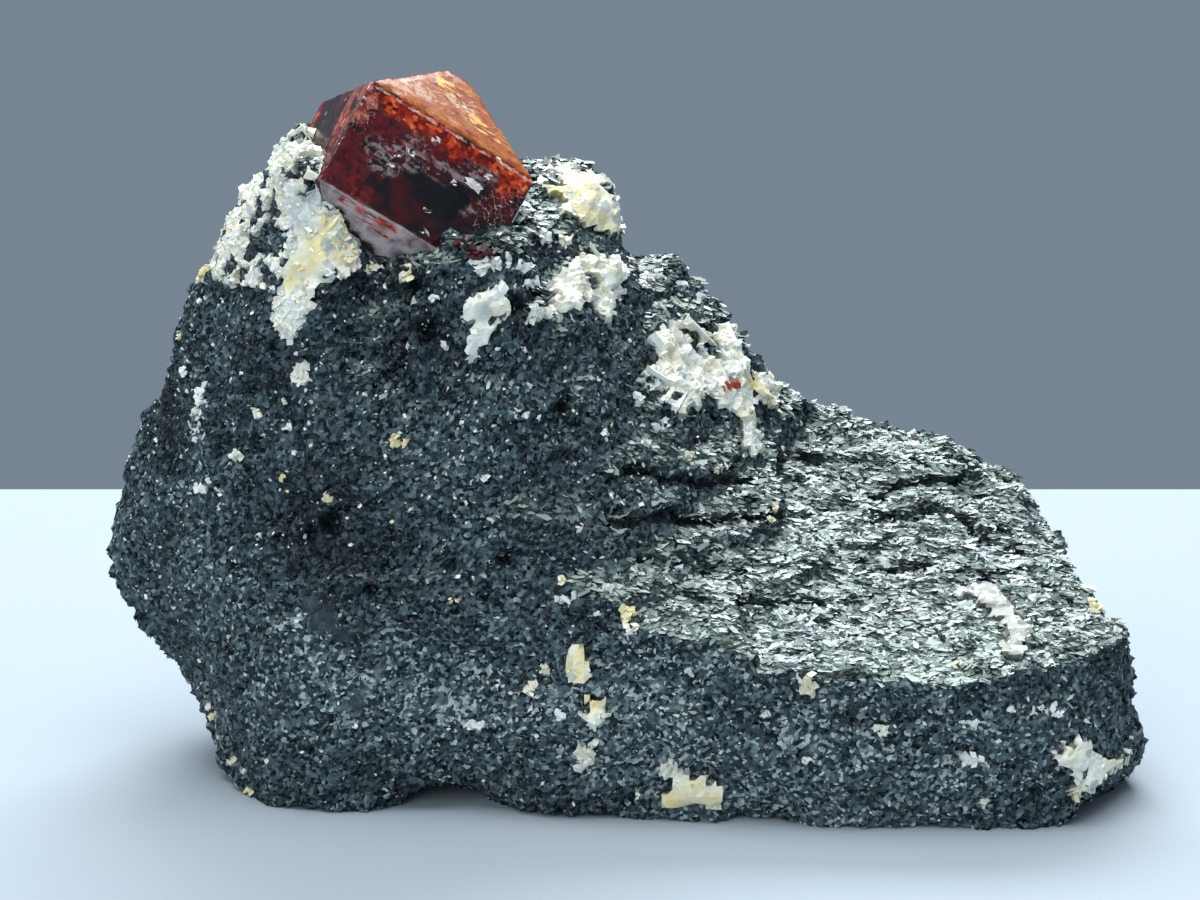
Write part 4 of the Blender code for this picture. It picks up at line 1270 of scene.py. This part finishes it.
# %% Blades
BLADES = (      # a blade's two ends in the picture, its half width in millimetres, and its shade
    (651, 339, 670, 352, 0.35, 0.40), (661, 327, 670, 339, 0.20, 0.35),
    (648, 372, 667, 377, 0.30, 0.38), (670, 405, 686, 392, 0.45, 0.35),
    (723, 324, 732, 342, 0.30, 0.40), (745, 411, 748, 433, 0.22, 0.20),
    (748, 430, 757, 455, 0.32, 0.18), (761, 402, 780, 394, 0.35, 0.55),
    (686, 327, 717, 339, 0.32, 0.38), (720, 355, 739, 364, 0.28, 0.40),
    (651, 430, 672, 421, 0.22, 0.15), (674, 420, 695, 411, 0.22, 0.18),
    (657, 308, 676, 314, 0.22, 0.20), (607, 302, 611, 324, 0.26, 0.14),
    (567, 320, 586, 330, 0.22, 0.30), (476, 270, 489, 262, 0.34, 0.30),
    (470, 352, 476, 340, 0.28, 0.25), (588, 246, 603, 258, 0.26, 0.30),
    (562, 598, 573, 603, 0.16, 0.12), (582, 607, 596, 613, 0.18, 0.14),
    (573, 592, 577, 606, 0.14, 0.12),
)


def make_blades():
    """Long thin blocks, each laid on the rock from one place to another."""
    dice = np.random.default_rng(14)
    rows = np.array(BLADES)
    start, end = (np.array([seen_at(*spot) for spot in rows[:, cut]])
                  for cut in (slice(0, 2), slice(2, 4)))
    facing = unit(start[:, 1] + end[:, 1])
    run = end[:, 0] - start[:, 0]
    wide = rows[:, 4]
    sizes = np.stack([np.linalg.norm(run, axis=1) / 2.0, wide, wide * 0.7], axis=-1)
    middle = (start[:, 0] + end[:, 0]) / 2.0 + facing * 0.05
    points, faces = blocks(middle, facing, sizes, dice, along=run)
    points = above_floor(points)
    add_bodies("calcite_blades", points, faces, len(CUBE), rows[:, 5], GRAIN_PAINT)


make_blades()

# %% [markdown]
# Small calcite is strewn over the schist. The larger chips are set one by one at their places;
# each is a cluster of grains, closer together towards its middle. The smallest, hardly a fifth of
# a millimetre, are scattered over every side of the block, since they run all through the rock.

# %% Chips and specks
CHIPS = (   # place in the picture, half width and half height there, shade
    (1046, 708, 17, 7, 0.35), (972, 724, 14, 5, 0.35), (1009, 710, 7, 4, 0.35), (1008, 671, 7, 5, 0.4),
    (974, 760, 16, 6, 0.35), (985, 803, 12, 4, 0.5), (1094, 607, 7, 9, 0.78), (1116, 629, 6, 4, 0.5),
    (958, 665, 5, 4, 0.7), (395, 441, 5, 9, 0.80), (405, 441, 4, 6, 0.75), (530, 690, 8, 8, 0.62),
    (628, 615, 9, 8, 0.80), (592, 745, 6, 4, 0.40), (300, 374, 9, 14, 0.50), (500, 684, 4, 4, 0.4),
    (282, 478, 3, 3, 0.78), (326, 497, 3, 5, 0.80), (203, 395, 7, 14, 0.35), (199, 425, 9, 18, 0.30),
    (201, 488, 8, 6, 0.35), (183, 372, 4, 8, 0.35), (632, 632, 7, 8, 0.55), (810, 660, 4, 9, 0.35),
    (807, 683, 9, 12, 0.66), (880, 731, 9, 6, 0.50), (765, 714, 5, 4, 0.3), (806, 758, 5, 5, 0.35),
    (668, 772, 9, 6, 0.5), (585, 760, 9, 14, 0.55), (545, 668, 6, 8, 0.70), (562, 580, 5, 5, 0.70),
    (580, 528, 4, 6, 0.3), (691, 456, 6, 5, 0.65), (718, 468, 5, 6, 0.6), (776, 506, 4, 5, 0.75),
    (770, 519, 4, 3, 0.75), (995, 456, 5, 4, 0.7), (965, 590, 12, 6, 0.35), (1040, 598, 12, 4, 0.45),
    (750, 415, 4, 12, 0.25), (758, 440, 5, 14, 0.22), (664, 420, 6, 3, 0.3), (605, 432, 4, 3, 0.3),
    (608, 398, 4, 3, 0.35), (596, 416, 3, 4, 0.35), (445, 345, 4, 5, 0.3), (434, 299, 4, 5, 0.28),
    (485, 478, 4, 6, 0.3), (460, 478, 3, 3, 0.3), (524, 388, 8, 5, 0.3), (520, 412, 9, 5, 0.3),
    (479, 268, 9, 11, 0.32), (495, 262, 6, 7, 0.3), (660, 385, 12, 5, 0.2), (505, 205, 6, 8, 0.3),
    (520, 215, 8, 8, 0.25), (545, 235, 6, 9, 0.35), (566, 240, 7, 5, 0.6), (580, 246, 6, 4, 0.35),
    (318, 147, 5, 6, 0.35), (372, 267, 6, 7, 0.72), (406, 272, 7, 10, 0.68), (213, 715, 4, 6, 0.75),
    (222, 735, 4, 5, 0.7), (232, 760, 4, 6, 0.75), (250, 790, 5, 5, 0.8), (245, 770, 4, 3, 0.5),
    (208, 708, 4, 4, 0.6), (455, 600, 8, 3, 0.75), (476, 608, 8, 4, 0.85), (255, 413, 8, 4, 0.5),
    (285, 428, 8, 3, 0.35), (236, 455, 6, 5, 0.5), (180, 320, 4, 8, 0.75), (205, 262, 7, 8, 0.8),
    (560, 600, 8, 4, 0.1), (590, 612, 7, 5, 0.1), (610, 590, 8, 5, 0.1), (574, 606, 5, 9, 0.1),
    (540, 312, 12, 6, 0.35), (555, 318, 8, 5, 0.3), (509, 260, 3, 9, 0.35), (580, 254, 4, 11, 0.6),
    (650, 277, 13, 6, 0.2), (640, 284, 8, 4, 0.3), (683, 284, 6, 4, 0.35), (698, 298, 6, 5, 0.22),
    (641, 400, 6, 6, 0.25), (659, 427, 9, 4, 0.22), (677, 418, 9, 4, 0.22), (655, 386, 9, 5, 0.25),
    (525, 268, 8, 6, 0.35), (532, 282, 6, 5, 0.3), (615, 262, 8, 5, 0.35), (622, 290, 5, 6, 0.3),
    (476, 725, 18, 4, 0.25), (560, 715, 6, 5, 0.25), (530, 708, 5, 4, 0.3), (690, 672, 4, 4, 0.2),
)
GRAIN_AREA = 5.0         # a chip has one grain for so many square pixels of its half size
FEWEST = 4               # but no fewer than this
SPECKS = 2600            # how many
BACK_CHIPS = 60          # chips on the sides that are not seen from the front
BACK_GRAINS = 5          # grains in each of them
BACK_HALF = 0.2          # and their half size


def chip_grains(dice):
    """Grains of the chips that are set singly: rows of place, direction, half size and shade.

    A grain's place is a random one in its chip's rectangle, times 0.8, and times its distance
    from the middle to the power 0.3, which draws the inner ones closer together.
    """
    found = []
    for across, down, wide, high, shade in CHIPS:
        count = max(FEWEST, round(wide * high / GRAIN_AREA))
        spots = dice.uniform(-1.0, 1.0, (count, 2))
        spots *= 0.8 * np.linalg.norm(spots, ord=np.inf, axis=1, keepdims=True) ** 0.3
        for right, up in spots:
            place, facing = seen_at(across + right * wide, down + up * high)
            found.append((*place, *facing, 0.11 + 0.011 * min(wide, high), shade))
    return np.array(found)


def back_grains(dice, open_rock):
    """Rows for chips on the sides that face away: a few grains each, strewn on the surface."""
    back = open_rock & (NET_FACING[SKIN_TRIANGLES[:, 0], 1] > 0.1)
    starts, picked = scattered(SKIN_POINTS, SKIN_TRIANGLES, back.astype(float), BACK_CHIPS, dice)
    picked = np.repeat(picked, BACK_GRAINS)
    facing = NET_FACING[SKIN_TRIANGLES[picked, 0]]
    away = dice.normal(0.0, 0.35, facing.shape)
    away -= facing * (away * facing).sum(axis=1, keepdims=True)
    places = np.repeat(starts, BACK_GRAINS, axis=0) + away
    shades = np.repeat(dice.uniform(0.2, 0.8, BACK_CHIPS), BACK_GRAINS)
    return np.column_stack([places, facing, np.full(len(picked), BACK_HALF), shades])


def speck_grains(dice, open_rock):
    """Rows for the specks, which are denser the higher the rock, from 5 mm up to 40 mm."""
    high = SKIN_POINTS[SKIN_TRIANGLES[:, 0], 2]
    weight = open_rock * (0.4 + ramp(high, 5.0, 40.0))
    places, picked = scattered(SKIN_POINTS, SKIN_TRIANGLES, weight, SPECKS, dice)
    half = 0.05 + 0.09 * dice.random(SPECKS) ** 2
    shades = 0.15 + 0.6 * dice.random(SPECKS) ** 2
    return np.column_stack([places, NET_FACING[SKIN_TRIANGLES[picked, 0]], half, shades])


def make_chips():
    """The chips, more chips on the far sides, and the specks, as one piece."""
    dice = np.random.default_rng(9)
    open_rock = BARE & (from_crystal(SKIN_POINTS)[0][SKIN_TRIANGLES].min(axis=1) > 0.4)
    rows = np.concatenate([chip_grains(dice), back_grains(dice, open_rock),
                           speck_grains(dice, open_rock)])
    sizes = rows[:, 6:7] * (0.6 + 0.8 * dice.random((len(rows), 3)))
    shades = np.clip(rows[:, 7] + dice.normal(0.0, 0.04, len(rows)), 0.0, 1.0)
    points, faces = blocks(rows[:, :3], rows[:, 3:6], sizes, dice)
    points = above_floor(points)
    add_bodies("calcite_chips", points, faces, len(CUBE), shades, GRAIN_PAINT)


make_chips()

# %% [markdown]
# ## The zircon
# The crystal's own solid is the shape, so a copy of it is refined instead of drawn again. Its
# edges are rounded by a tenth of a millimetre, its faces are divided until hardly a side is longer
# than a third of a millimetre, and then a light waviness and worn edges are pressed into it. Faces
# of a real crystal are never optically flat, and that waviness breaks the mirror image up.

# %% Crystal shape
EDGE_ROUND = 0.10        # how much of each face an edge's rounding takes
WEAR_WIDTH = 0.4         # how far from an edge its wear reaches
LONGEST_SIDE = 0.35
HALVINGS = 6             # rounds of halving the sides that are still too long
CRISP = 20.0             # an edge that turns by more degrees than this is shaded crisp


def refined_crystal():
    """The crystal's solid with rounded edges and small triangles, as arrays."""
    points, triangles = node_arrays(ZIRCON)
    mesh = put_mesh("crystal", points, triangles)
    bm = bmesh.new()
    bm.from_mesh(mesh)
    bmesh.ops.dissolve_limit(bm, angle_limit=0.01, verts=bm.verts, edges=bm.edges)
    bmesh.ops.bevel(bm, geom=bm.edges[:], offset=EDGE_ROUND * MM, segments=2, profile=0.5,
                    affect="EDGES", clamp_overlap=True)
    bmesh.ops.triangulate(bm, faces=bm.faces)
    for _ in range(HALVINGS):
        long = [edge for edge in bm.edges if edge.calc_length() > LONGEST_SIDE * MM]
        bmesh.ops.subdivide_edges(bm, edges=long, cuts=1)
        bmesh.ops.triangulate(bm, faces=bm.faces)
    bm.to_mesh(mesh)
    bm.free()
    points = read_array(mesh.vertices, "co", 3).astype(float) / MM
    mesh.calc_loop_triangles()
    return points, read_array(mesh.loop_triangles, "vertices", 3, np.int32)


def worn_crystal(points):
    """Press a slight waviness and worn edges into the crystal: out = wave - wear.

    The distance from an edge is the difference between a point's heights above the two highest
    faces. The wear is full at an edge and gone at the width of the wear from it.
    """
    heights = np.sort(above_planes(points), axis=1)
    edge = heights[:, -1] - heights[:, -2]
    facing = PLANES[from_crystal(points)[1]]
    wave = 0.02 * smooth_noise(points, size=2.6, salt=71)
    wave += 0.008 * smooth_noise(points, size=0.9, salt=72)
    wear = 0.05 + 0.07 * smooth_noise(points, size=0.7, salt=73)
    wear *= ramp(edge, WEAR_WIDTH, 0.0)
    return points + facing * (wave - wear)[:, None]


# %% [markdown]
# What shows where in the stone is kept as numbers at the points of the mesh: how deep a point
# lies under each face, and how near it is to the middle of a golden spot, a veil or a worn place.
# Its material turns these numbers into colours.

# %% Marks on the crystal
FACE_DIRECTIONS = {      # the way each of the faces that show looks
    "top": (0.578, -0.337, 0.743), "front": (0.381, -0.903, 0.197),
    "lower": (-0.067, -0.875, -0.479), "left": (-0.816, -0.228, 0.532),
}
FACES = {name: int((PLANES @ unit(np.array(direction))).argmax())
         for name, direction in FACE_DIRECTIONS.items()}
# Among these marks the golden spots are painted glints, the pale ones painted highlights, the glowing
# ones painted glow, the rosy ones partly painted glow, the veils partly a painted sheen, and the dull
# and the shaded ones painted shade.
MARKS = {       # what is seen in each part of the crystal: place in the picture, radius in mm
    "gold": ((449, 89, 1.3), (442, 82, 0.8), (482, 128, 1.0), (475, 121, 0.8), (489, 134, 0.7),
             (496, 140, 0.5)),
    "pale": ((412, 83, 1.5), (424, 93, 1.3), (455, 100, 1.2), (467, 109, 0.9), (398, 90, 0.9)),
    "net": ((362, 98, 1.3), (368, 108, 1.0), (352, 112, 1.0), (360, 122, 1.1), (345, 125, 1.2),
            (338, 140, 1.0), (495, 207, 1.7), (508, 202, 1.3), (517, 211, 1.0), (492, 220, 1.3),
            (480, 228, 1.0), (523, 194, 0.9)),
    "glow": ((313, 108, 1.4), (318, 100, 0.9), (395, 107, 1.2), (408, 112, 1.0), (437, 124, 1.5),
             (450, 138, 1.4), (458, 150, 1.2), (477, 153, 1.2), (527, 175, 1.1), (502, 163, 1.0),
             (512, 183, 1.6), (342, 120, 1.4), (335, 138, 0.9), (420, 120, 1.3), (490, 160, 1.0),
             (345, 203, 1.0), (355, 210, 1.1), (366, 217, 1.0), (378, 224, 0.9), (388, 232, 0.8)),
    "rose": ((352, 97, 1.5), (363, 91, 1.2), (345, 110, 1.3), (338, 127, 1.2), (358, 112, 1.1),
             (347, 122, 0.9), (372, 101, 0.8)),
    "wine": ((345, 163, 3.2), (328, 175, 2.2), (350, 190, 2.2), (375, 115, 2.2), (395, 130, 2.4),
             (430, 140, 2.0), (505, 178, 2.2), (345, 95, 1.6)),
    "veil": ((375, 150, 1.3), (378, 162, 1.1), (412, 154, 1.9), (388, 162, 1.4), (475, 173, 1.5),
             (492, 175, 1.0), (437, 168, 1.3), (453, 183, 1.2), (470, 165, 1.1), (463, 205, 1.0)),
    "shade": ((442, 203, 2.0), (455, 197, 1.5), (425, 190, 1.4)),
    "dull": ((325, 122, 1.3), (321, 135, 1.3), (330, 130, 0.8), (333, 214, 1.2), (340, 225, 1.2),
             (350, 238, 1.3), (362, 250, 1.3), (370, 260, 1.0)),
}
print(len(MARKS), "kinds of marks,", len(FACES), "faces that show")


def make_crystal(paint):
    """The finished crystal, with each point's depth under four faces and its share of each mark."""
    points, triangles = refined_crystal()
    points = worn_crystal(points)
    mesh = put_mesh("zircon", points, triangles, smooth=True)
    for name, face in FACES.items():
        put_values(mesh, "below_" + name, -above_planes(points)[:, face])
    for name, spots in MARKS.items():
        put_values(mesh, name, np.clip(near_spots(points, spots, CRYSTAL_TREE), 0.0, 1.0))
    mesh.set_sharp_from_angle(angle=math.radians(CRISP))
    return add_piece("zircon", mesh, paint, [ZIRCON])


# %% [markdown]
# Zircon bends light strongly (1.95) and its red-brown deepens with thickness, which is what a
# volume that absorbs gives: thin corners glow and the heart is nearly black. The faces are not
# all clear. The top one has a silky orange bloom, brushed parallel to its front edge, with painted
# golden glints and pale painted highlights; below that edge runs a band of painted red glow; the
# upper left is rosy, partly painted glow and partly pinkish scratches, with painted shade on its
# left side; the front has a dark heart under wine-red sides and grey veils of healed cracks, their
# grey a painted sheen; the lower face has a painted lilac-grey reflection. Each is a satin surface
# mixed over the clear one, by shares that the numbers on the mesh give.

# %% Colours of the crystal
BODY_COLOUR = (0.90, 0.26, 0.08)
BODY_DENSITY = 380.0
HAZE = 0.30              # every face is at least this dull
EDGE_RUN = unit(np.array((11.6, 3.24, -7.55)))      # along the top face's front edge
BLOOM = ((0.36, (0.17, 0.030, 0.008)), (0.47, (0.32, 0.075, 0.018)),
         (0.56, (0.46, 0.15, 0.040)), (0.68, (0.62, 0.30, 0.12)))
# painted glow of light inside the stone
GLOW = ((0.25, (0.09, 0.005, 0.004)), (0.55, (0.32, 0.018, 0.008)),
        (0.78, (0.72, 0.10, 0.020)), (1.0, (0.95, 0.48, 0.16)))
# rosy upper left: partly painted glow, partly pinkish scratches
ROSE_GLOW = ((0.30, (0.15, 0.016, 0.012)), (0.50, (0.38, 0.075, 0.045)), (0.72, (0.70, 0.32, 0.24)))
WINE = ((0.25, (0.040, 0.004, 0.006)), (0.45, (0.11, 0.008, 0.010)), (0.65, (0.22, 0.016, 0.014)))
# painted reflection: the lilac-grey of the lower face
LOWER_REFLECTION = ((0.35, (0.16, 0.115, 0.122)), (0.6, (0.47, 0.41, 0.43)))
HEART = ((0.010, 0.002, 0.003), (0.07, 0.006, 0.007))      # its darkest and its palest
CLEAR_TINT = (1.0, 0.93, 0.90)
# painted highlight on the top face
PALE_HIGHLIGHT = (0.62, 0.42, 0.30)
# painted glints on the top face
GOLD_GLINT = (0.95, 0.52, 0.12)
# the veils of healed cracks: their grey is a painted sheen
VEIL_SHEEN = (0.40, 0.31, 0.31)
SHADE = (0.004, 0.003, 0.004)
# painted shade on the crystal's left face and lower left
SHADE_BROWN = (0.035, 0.024, 0.020)
# worn white, with a painted highlight along the edges
WORN_HIGHLIGHT = (0.68, 0.44, 0.38)

# %% [markdown]
# Everything on the crystal is built from a few shares. Noise gives clouds, fine grain and glints,
# and noise with its coordinates stretched along an edge gives brushed streaks. A depth under a
# face becomes the share of that face, and a mark's round spot is made ragged by the noise.

# %% Patterns on the crystal
def along_edge(paint, long, wide):
    """Coordinates that run along the top face's front edge, for brushed streaks."""
    upright = PLANES[FACES["top"]]
    across = unit(np.cross(upright, EDGE_RUN))
    parts = {}
    for name, direction, size in (("X", EDGE_RUN, long), ("Y", across, wide), ("Z", upright, wide)):
        sockets = {0: paint.place, 1: tuple(direction / size)}
        made = paint.node("VectorMath", {"operation": "DOT_PRODUCT"}, sockets)
        parts[name] = made.outputs["Value"]
    return paint.node("CombineXYZ", None, parts).outputs[0]


def zircon_patterns(paint):
    """The shares, from 0 to 1, of which everything on the crystal is made.

    They are four noises, the depth under each face that shows, a share for that face (1 on it,
    0 from 0.17 mm below it on), and one for each mark, its round edge made ragged by the noises.
    """
    streaks = along_edge(paint, long=2.6, wide=0.30)
    see = {"brush": paint.noise(1.0, detail=4.0, place=streaks),
           "cloud": paint.noise(1.5, detail=3.0),
           "fine": paint.noise(0.45, detail=3.0, warp=0.8),
           "glint": paint.cells(0.36)[1]}
    for name in FACES:
        see["below_" + name] = paint.kept("below_" + name)
        see[name] = see["below_" + name].ramp(0.17, 0.08)
    ragged = (see["cloud"] - 0.5) * 0.7 + (see["fine"] - 0.5) * 0.7
    for name in MARKS:
        kept = paint.kept(name)
        see[name] = (kept + ragged * kept.ramp(0.0, 0.2)).ramp(0.10, 0.45)
    see["veil"] = see["veil"] * (see["brush"] * 0.5 + see["fine"] * 0.5).ramp(0.46, 0.60)
    return SimpleNamespace(**see)


# %% [markdown]
# Colours are laid one over another, as glazes are: each is mixed over the last by its share. The
# top face and the front have stacks of their own. Places of painted glow, and worn places with a
# painted highlight, cut across both faces.

# %% Glazes of the crystal
def bloom_colour(paint, see):
    """The top face: brushed orange, with painted pale highlights and painted golden glints."""
    bloom = paint.scale(see.brush * 0.35 + see.cloud * 0.35 + see.fine * 0.3, BLOOM)
    bloom = paint.mixed(see.pale * see.fine.ramp(0.38, 0.6) * 0.8, bloom, opaque(PALE_HIGHLIGHT))
    gold = see.gold * (see.brush * 0.6 + see.cloud * 0.4).ramp(0.42, 0.52)
    return paint.mixed(gold, bloom, opaque(GOLD_GLINT))


def heart_colour(paint, see):
    """The front: nearly black, with wine-red sides, grey veils of healed cracks whose grey is a
    painted sheen, and spots of painted shade.
    """
    heart = paint.mixed(see.cloud.ramp(0.4, 0.6), *(opaque(ends) for ends in HEART))
    heart = paint.mixed(see.wine, heart, paint.scale(see.fine * 0.6 + see.glint * 0.3, WINE))
    heart = paint.mixed(see.veil * 0.85, heart, opaque(VEIL_SHEEN))
    return paint.mixed(see.shade, heart, opaque(SHADE))


def painted_glow_share(see):
    """Where painted glow is laid: in the marked places, and in a ragged band below the top edge."""
    rim = (see.below_top + (see.cloud - 0.5) * 1.6).ramp(1.3, 0.3) * see.front
    return see.glow.most(rim) * (1 - see.lower * see.brush.ramp(0.58, 0.46))


def worn_highlight_share(paint, see):
    """Where the stone is worn white, with a painted highlight along the edges: along two edges of the
    front face, and in a net of cracks.

    A point is on the edge of two faces where it lies equally deep, and hardly, under both.
    """
    waver = (see.fine - 0.5) * 0.35
    line = (see.below_top - see.below_front).size().most(see.below_front * 0.4)
    side = (see.below_lower - see.below_front).size().most(see.below_front * 0.4)
    seams = paint.edges(0.55).ramp(0.05, 0.015) * see.fine.ramp(0.40, 0.52)
    net = see.net * seams * (1 - see.top) * 0.6
    return (line + waver).ramp(0.13, 0.04).most((side + waver).ramp(0.08, 0.0) * 0.3).most(net)


# %% [markdown]
# Last, the clear stone and the satin one are mixed. Two shaders are needed because light passes
# through the one and stops at the other, as at a healed crack just under the surface.

# %% Crystal material
def clear_zircon(paint):
    """The clear stone itself, with the waviness of a natural face."""
    wave = paint.noise(1.6, warp=1.2)
    bump = paint.node("Bump", None, {"Height": wave, "Strength": 0.35, "Distance": 0.2 * MM})
    return paint.shader({"Base Color": opaque(CLEAR_TINT), "Roughness": 0.04, "IOR": 1.95,
                         "Transmission Weight": 1.0, "Normal": bump.outputs[0]})


def zircon_material():
    """Clear red-brown zircon, mixed with a satin surface that has all its colours.

    The satin's share at a place is the largest of those that its face, its marks and the haze
    ask for.
    """
    paint = Paint("zircon")
    see = zircon_patterns(paint)
    painted_glow = painted_glow_share(see)
    worn_highlight = worn_highlight_share(paint, see)
    # painted reflection on the lower face
    lower_reflection = paint.scale(paint.noise(1.1, detail=3.0, warp=0.5), LOWER_REFLECTION)
    colour = paint.mixed(see.lower, heart_colour(paint, see), lower_reflection)
    # painted glow: orange-red where light shines through thin stone
    colour = paint.mixed(painted_glow, colour, paint.scale(see.glint * 0.6 + see.fine * 0.45, GLOW))
    # the rosy upper left: partly painted glow, partly pinkish scratches
    rose = paint.scale(see.fine * 0.5 + see.cloud * 0.25 + see.glint * 0.25, ROSE_GLOW)
    colour = paint.mixed(see.rose * 0.85, colour, rose)
    # painted shade: the left face and the lower left, dark grey-brown
    colour = paint.mixed(see.dull * (1 - see.top), colour, opaque(SHADE_BROWN))
    colour = paint.mixed(see.top, colour, bloom_colour(paint, see))
    # worn edges and cracks, with a painted highlight along the edges
    colour = paint.mixed(worn_highlight, colour, opaque(WORN_HIGHLIGHT))
    satin = paint.shader({"Base Color": colour, "Roughness": 0.35, "IOR": 1.5,
                          "Specular IOR Level": 0.10})
    hidden = 1 - see.top.most(see.lower).most(see.front).most(see.left)
    share = see.cloud.ramp(0.35, 0.6) * 0.4 + HAZE
    for asked in (see.top * (0.78 + see.fine * 0.2), see.lower * 0.85, see.front * 0.55,
                  see.left * 0.6, hidden * 0.8, painted_glow * 0.8, see.veil * 0.5, see.wine * 0.5,
                  see.rose * 0.75, see.dull * 0.8, worn_highlight * 0.85):
        share = share.most(asked)
    both = paint.node("MixShader", None, {0: share, 1: clear_zircon(paint), 2: satin}).outputs[0]
    sockets = {"Color": opaque(BODY_COLOUR), "Density": BODY_DENSITY}
    return paint.finish(both, paint.node("VolumeAbsorption", None, sockets).outputs[0])


make_crystal(zircon_material())

# %% [markdown]
# ## Flaws in the crystal
# A natural zircon is full of healed cracks. Each is a thin bright sheet inside the stone, and its
# colour comes from how deep it lies: near the surface it flashes grey-white, a millimetre down it
# is orange, deeper it is red. The same flat plates as the mica serve, set inside the crystal.

# %% Flaws
FLAW_SPOTS = (     # place in the picture, spread across and down, depth range, half length, count
    (440, 150, 70, 22, 0.5, 2.2, 0.3, 50), (350, 125, 18, 18, 0.2, 1.0, 0.3, 30),
    (390, 157, 5, 2, 0.0, 0.0, 0.45, 3), (386, 164, 6, 1, 0.0, 0.0, 0.5, 3),
    (411, 152, 7, 2, 0.0, 0.0, 0.55, 4), (425, 168, 2, 2, 0.0, 0.0, 0.4, 3),
    (437, 141, 3, 2, 0.0, 0.0, 0.45, 3), (474, 184, 5, 2, 0.0, 0.0, 0.8, 6),
    (487, 175, 3, 4, 0.0, 0.0, 0.4, 3), (427, 211, 3, 1, 0.0, 0.0, 0.4, 3),
    (425, 232, 4, 1, 0.0, 0.0, 0.45, 4), (453, 183, 2, 3, 0.0, 0.0, 0.3, 3),
    (473, 208, 5, 4, 0.0, 0.1, 0.4, 4), (495, 210, 18, 8, 0.0, 0.3, 0.3, 26),
    (512, 192, 10, 16, 0.1, 1.5, 0.3, 16), (488, 228, 6, 3, 0.0, 0.0, 0.4, 4),
    (355, 100, 10, 6, 0.0, 0.0, 0.25, 8), (325, 118, 2, 5, 0.0, 0.0, 0.3, 2),
    (462, 105, 6, 4, 0.0, 0.0, 0.3, 4), (501, 160, 3, 2, 0.0, 0.0, 0.4, 3),
)
FLAW_SHAPE = np.array((1.0, 0.35, 0.1))      # half length, half width and thickness, as shares
FLAW_SHADES = ((0.0, (0.45, 0.40, 0.42)), (1.0, (0.95, 0.90, 0.86)))
PROUD = 0.03             # how far a sheet stands out of the crystal's face, at the most


def flaw_places(dice):
    """Places inside the crystal, behind places in the picture.

    Returns the places, the direction of the face above each, its depth and its half length.
    """
    found = []
    for across, down, wide, high, near, far, half, count in FLAW_SPOTS:
        for right, up, share in dice.uniform(-1.0, 1.0, (count, 3)):
            place, facing = seen_at(across + right * wide, down + up * high, CRYSTAL_TREE)
            deep = near + (far - near) * abs(share)
            found.append((*(place - facing * deep), *facing, deep, half))
    found = np.array(found)
    found = found[from_crystal(found[:, :3])[0] < 0.01]      # none behind the far faces
    return found[:, :3], found[:, 3:6], found[:, 6], found[:, 7:]


def make_flaws():
    """Thin bright sheets, longer than wide, most of them leaning only a little from the face."""
    dice = np.random.default_rng(10)
    places, facing, deep, half = flaw_places(dice)
    count = len(places)
    room = np.minimum(1.0, 0.3 + deep)[:, None]      # a shallow sheet may lean less
    up = unit(facing + dice.normal(0.0, 0.5, (count, 3)) * room)
    along = EDGE_RUN + dice.normal(0.0, 0.35, (count, 3))
    sizes = half * FLAW_SHAPE * (0.5 + 0.7 * dice.random((count, 1)))
    points, faces = plates(places, up, along, sizes, dice)
    away, face = from_crystal(points)
    points -= PLANES[face] * np.maximum(away - PROUD, 0.0)[:, None]
    paint = Paint("zircon_flaws")
    base = paint.scale(paint.kept("shade"), FLAW_SHADES)
    material = paint.finish(paint.shader({"Base Color": base, "Roughness": 0.25, "IOR": 1.9}))
    add_bodies("zircon_flaws", points, faces, CORNERS + 1, dice.random(count), material)


make_flaws()

# %% [markdown]
# Bits of the same zircon are bedded in the rock by the crystal's foot and in the calcite of the
# slope. They are too small to see into, so a dark red glossy surface is enough.

# %% Zircon bits
BITS = (    # place in the picture, half width and half height there, shade
    (480, 252, 12, 5, 0.25), (484, 250, 9, 4, 0.2), (462, 243, 5, 2, 0.3), (726, 386, 8, 5, 0.9),
    (729, 387, 5, 3, 0.8),
)
BIT_AREA = 6.0           # as for the chips of calcite
BIT_RISE = 0.22          # how far they stand out, since calcite lies over the rock there
BIT_SHADES = ((0.0, (0.02, 0.004, 0.005)), (0.5, (0.085, 0.012, 0.014)), (1.0, (0.50, 0.06, 0.02)))


def make_bits():
    """Small leaning blocks of zircon in clusters, each place lifted along its direction."""
    dice = np.random.default_rng(12)
    rows = []
    for across, down, wide, high, shade in BITS:
        count = max(FEWEST, round(wide * high / BIT_AREA))
        for right, up in dice.uniform(-1.0, 1.0, (count, 2)):
            place, facing = seen_at(across + right * wide, down + up * high)
            rows.append((*(place + facing * BIT_RISE), *facing, shade))
    rows = np.array(rows)
    sizes = 0.10 + 0.16 * dice.random((len(rows), 3))
    points, faces = blocks(rows[:, :3], rows[:, 3:6], sizes, dice)
    paint = Paint("zircon_bits")
    shade = paint.kept("shade") + (paint.noise(0.5) - 0.5) * 0.4
    base = paint.scale(shade, BIT_SHADES)
    material = paint.finish(paint.shader({"Base Color": base, "Roughness": 0.3, "IOR": 1.5}))
    points = above_floor(points)
    add_bodies("zircon_bits", points, faces, len(CUBE), rows[:, 6], material)


make_bits()
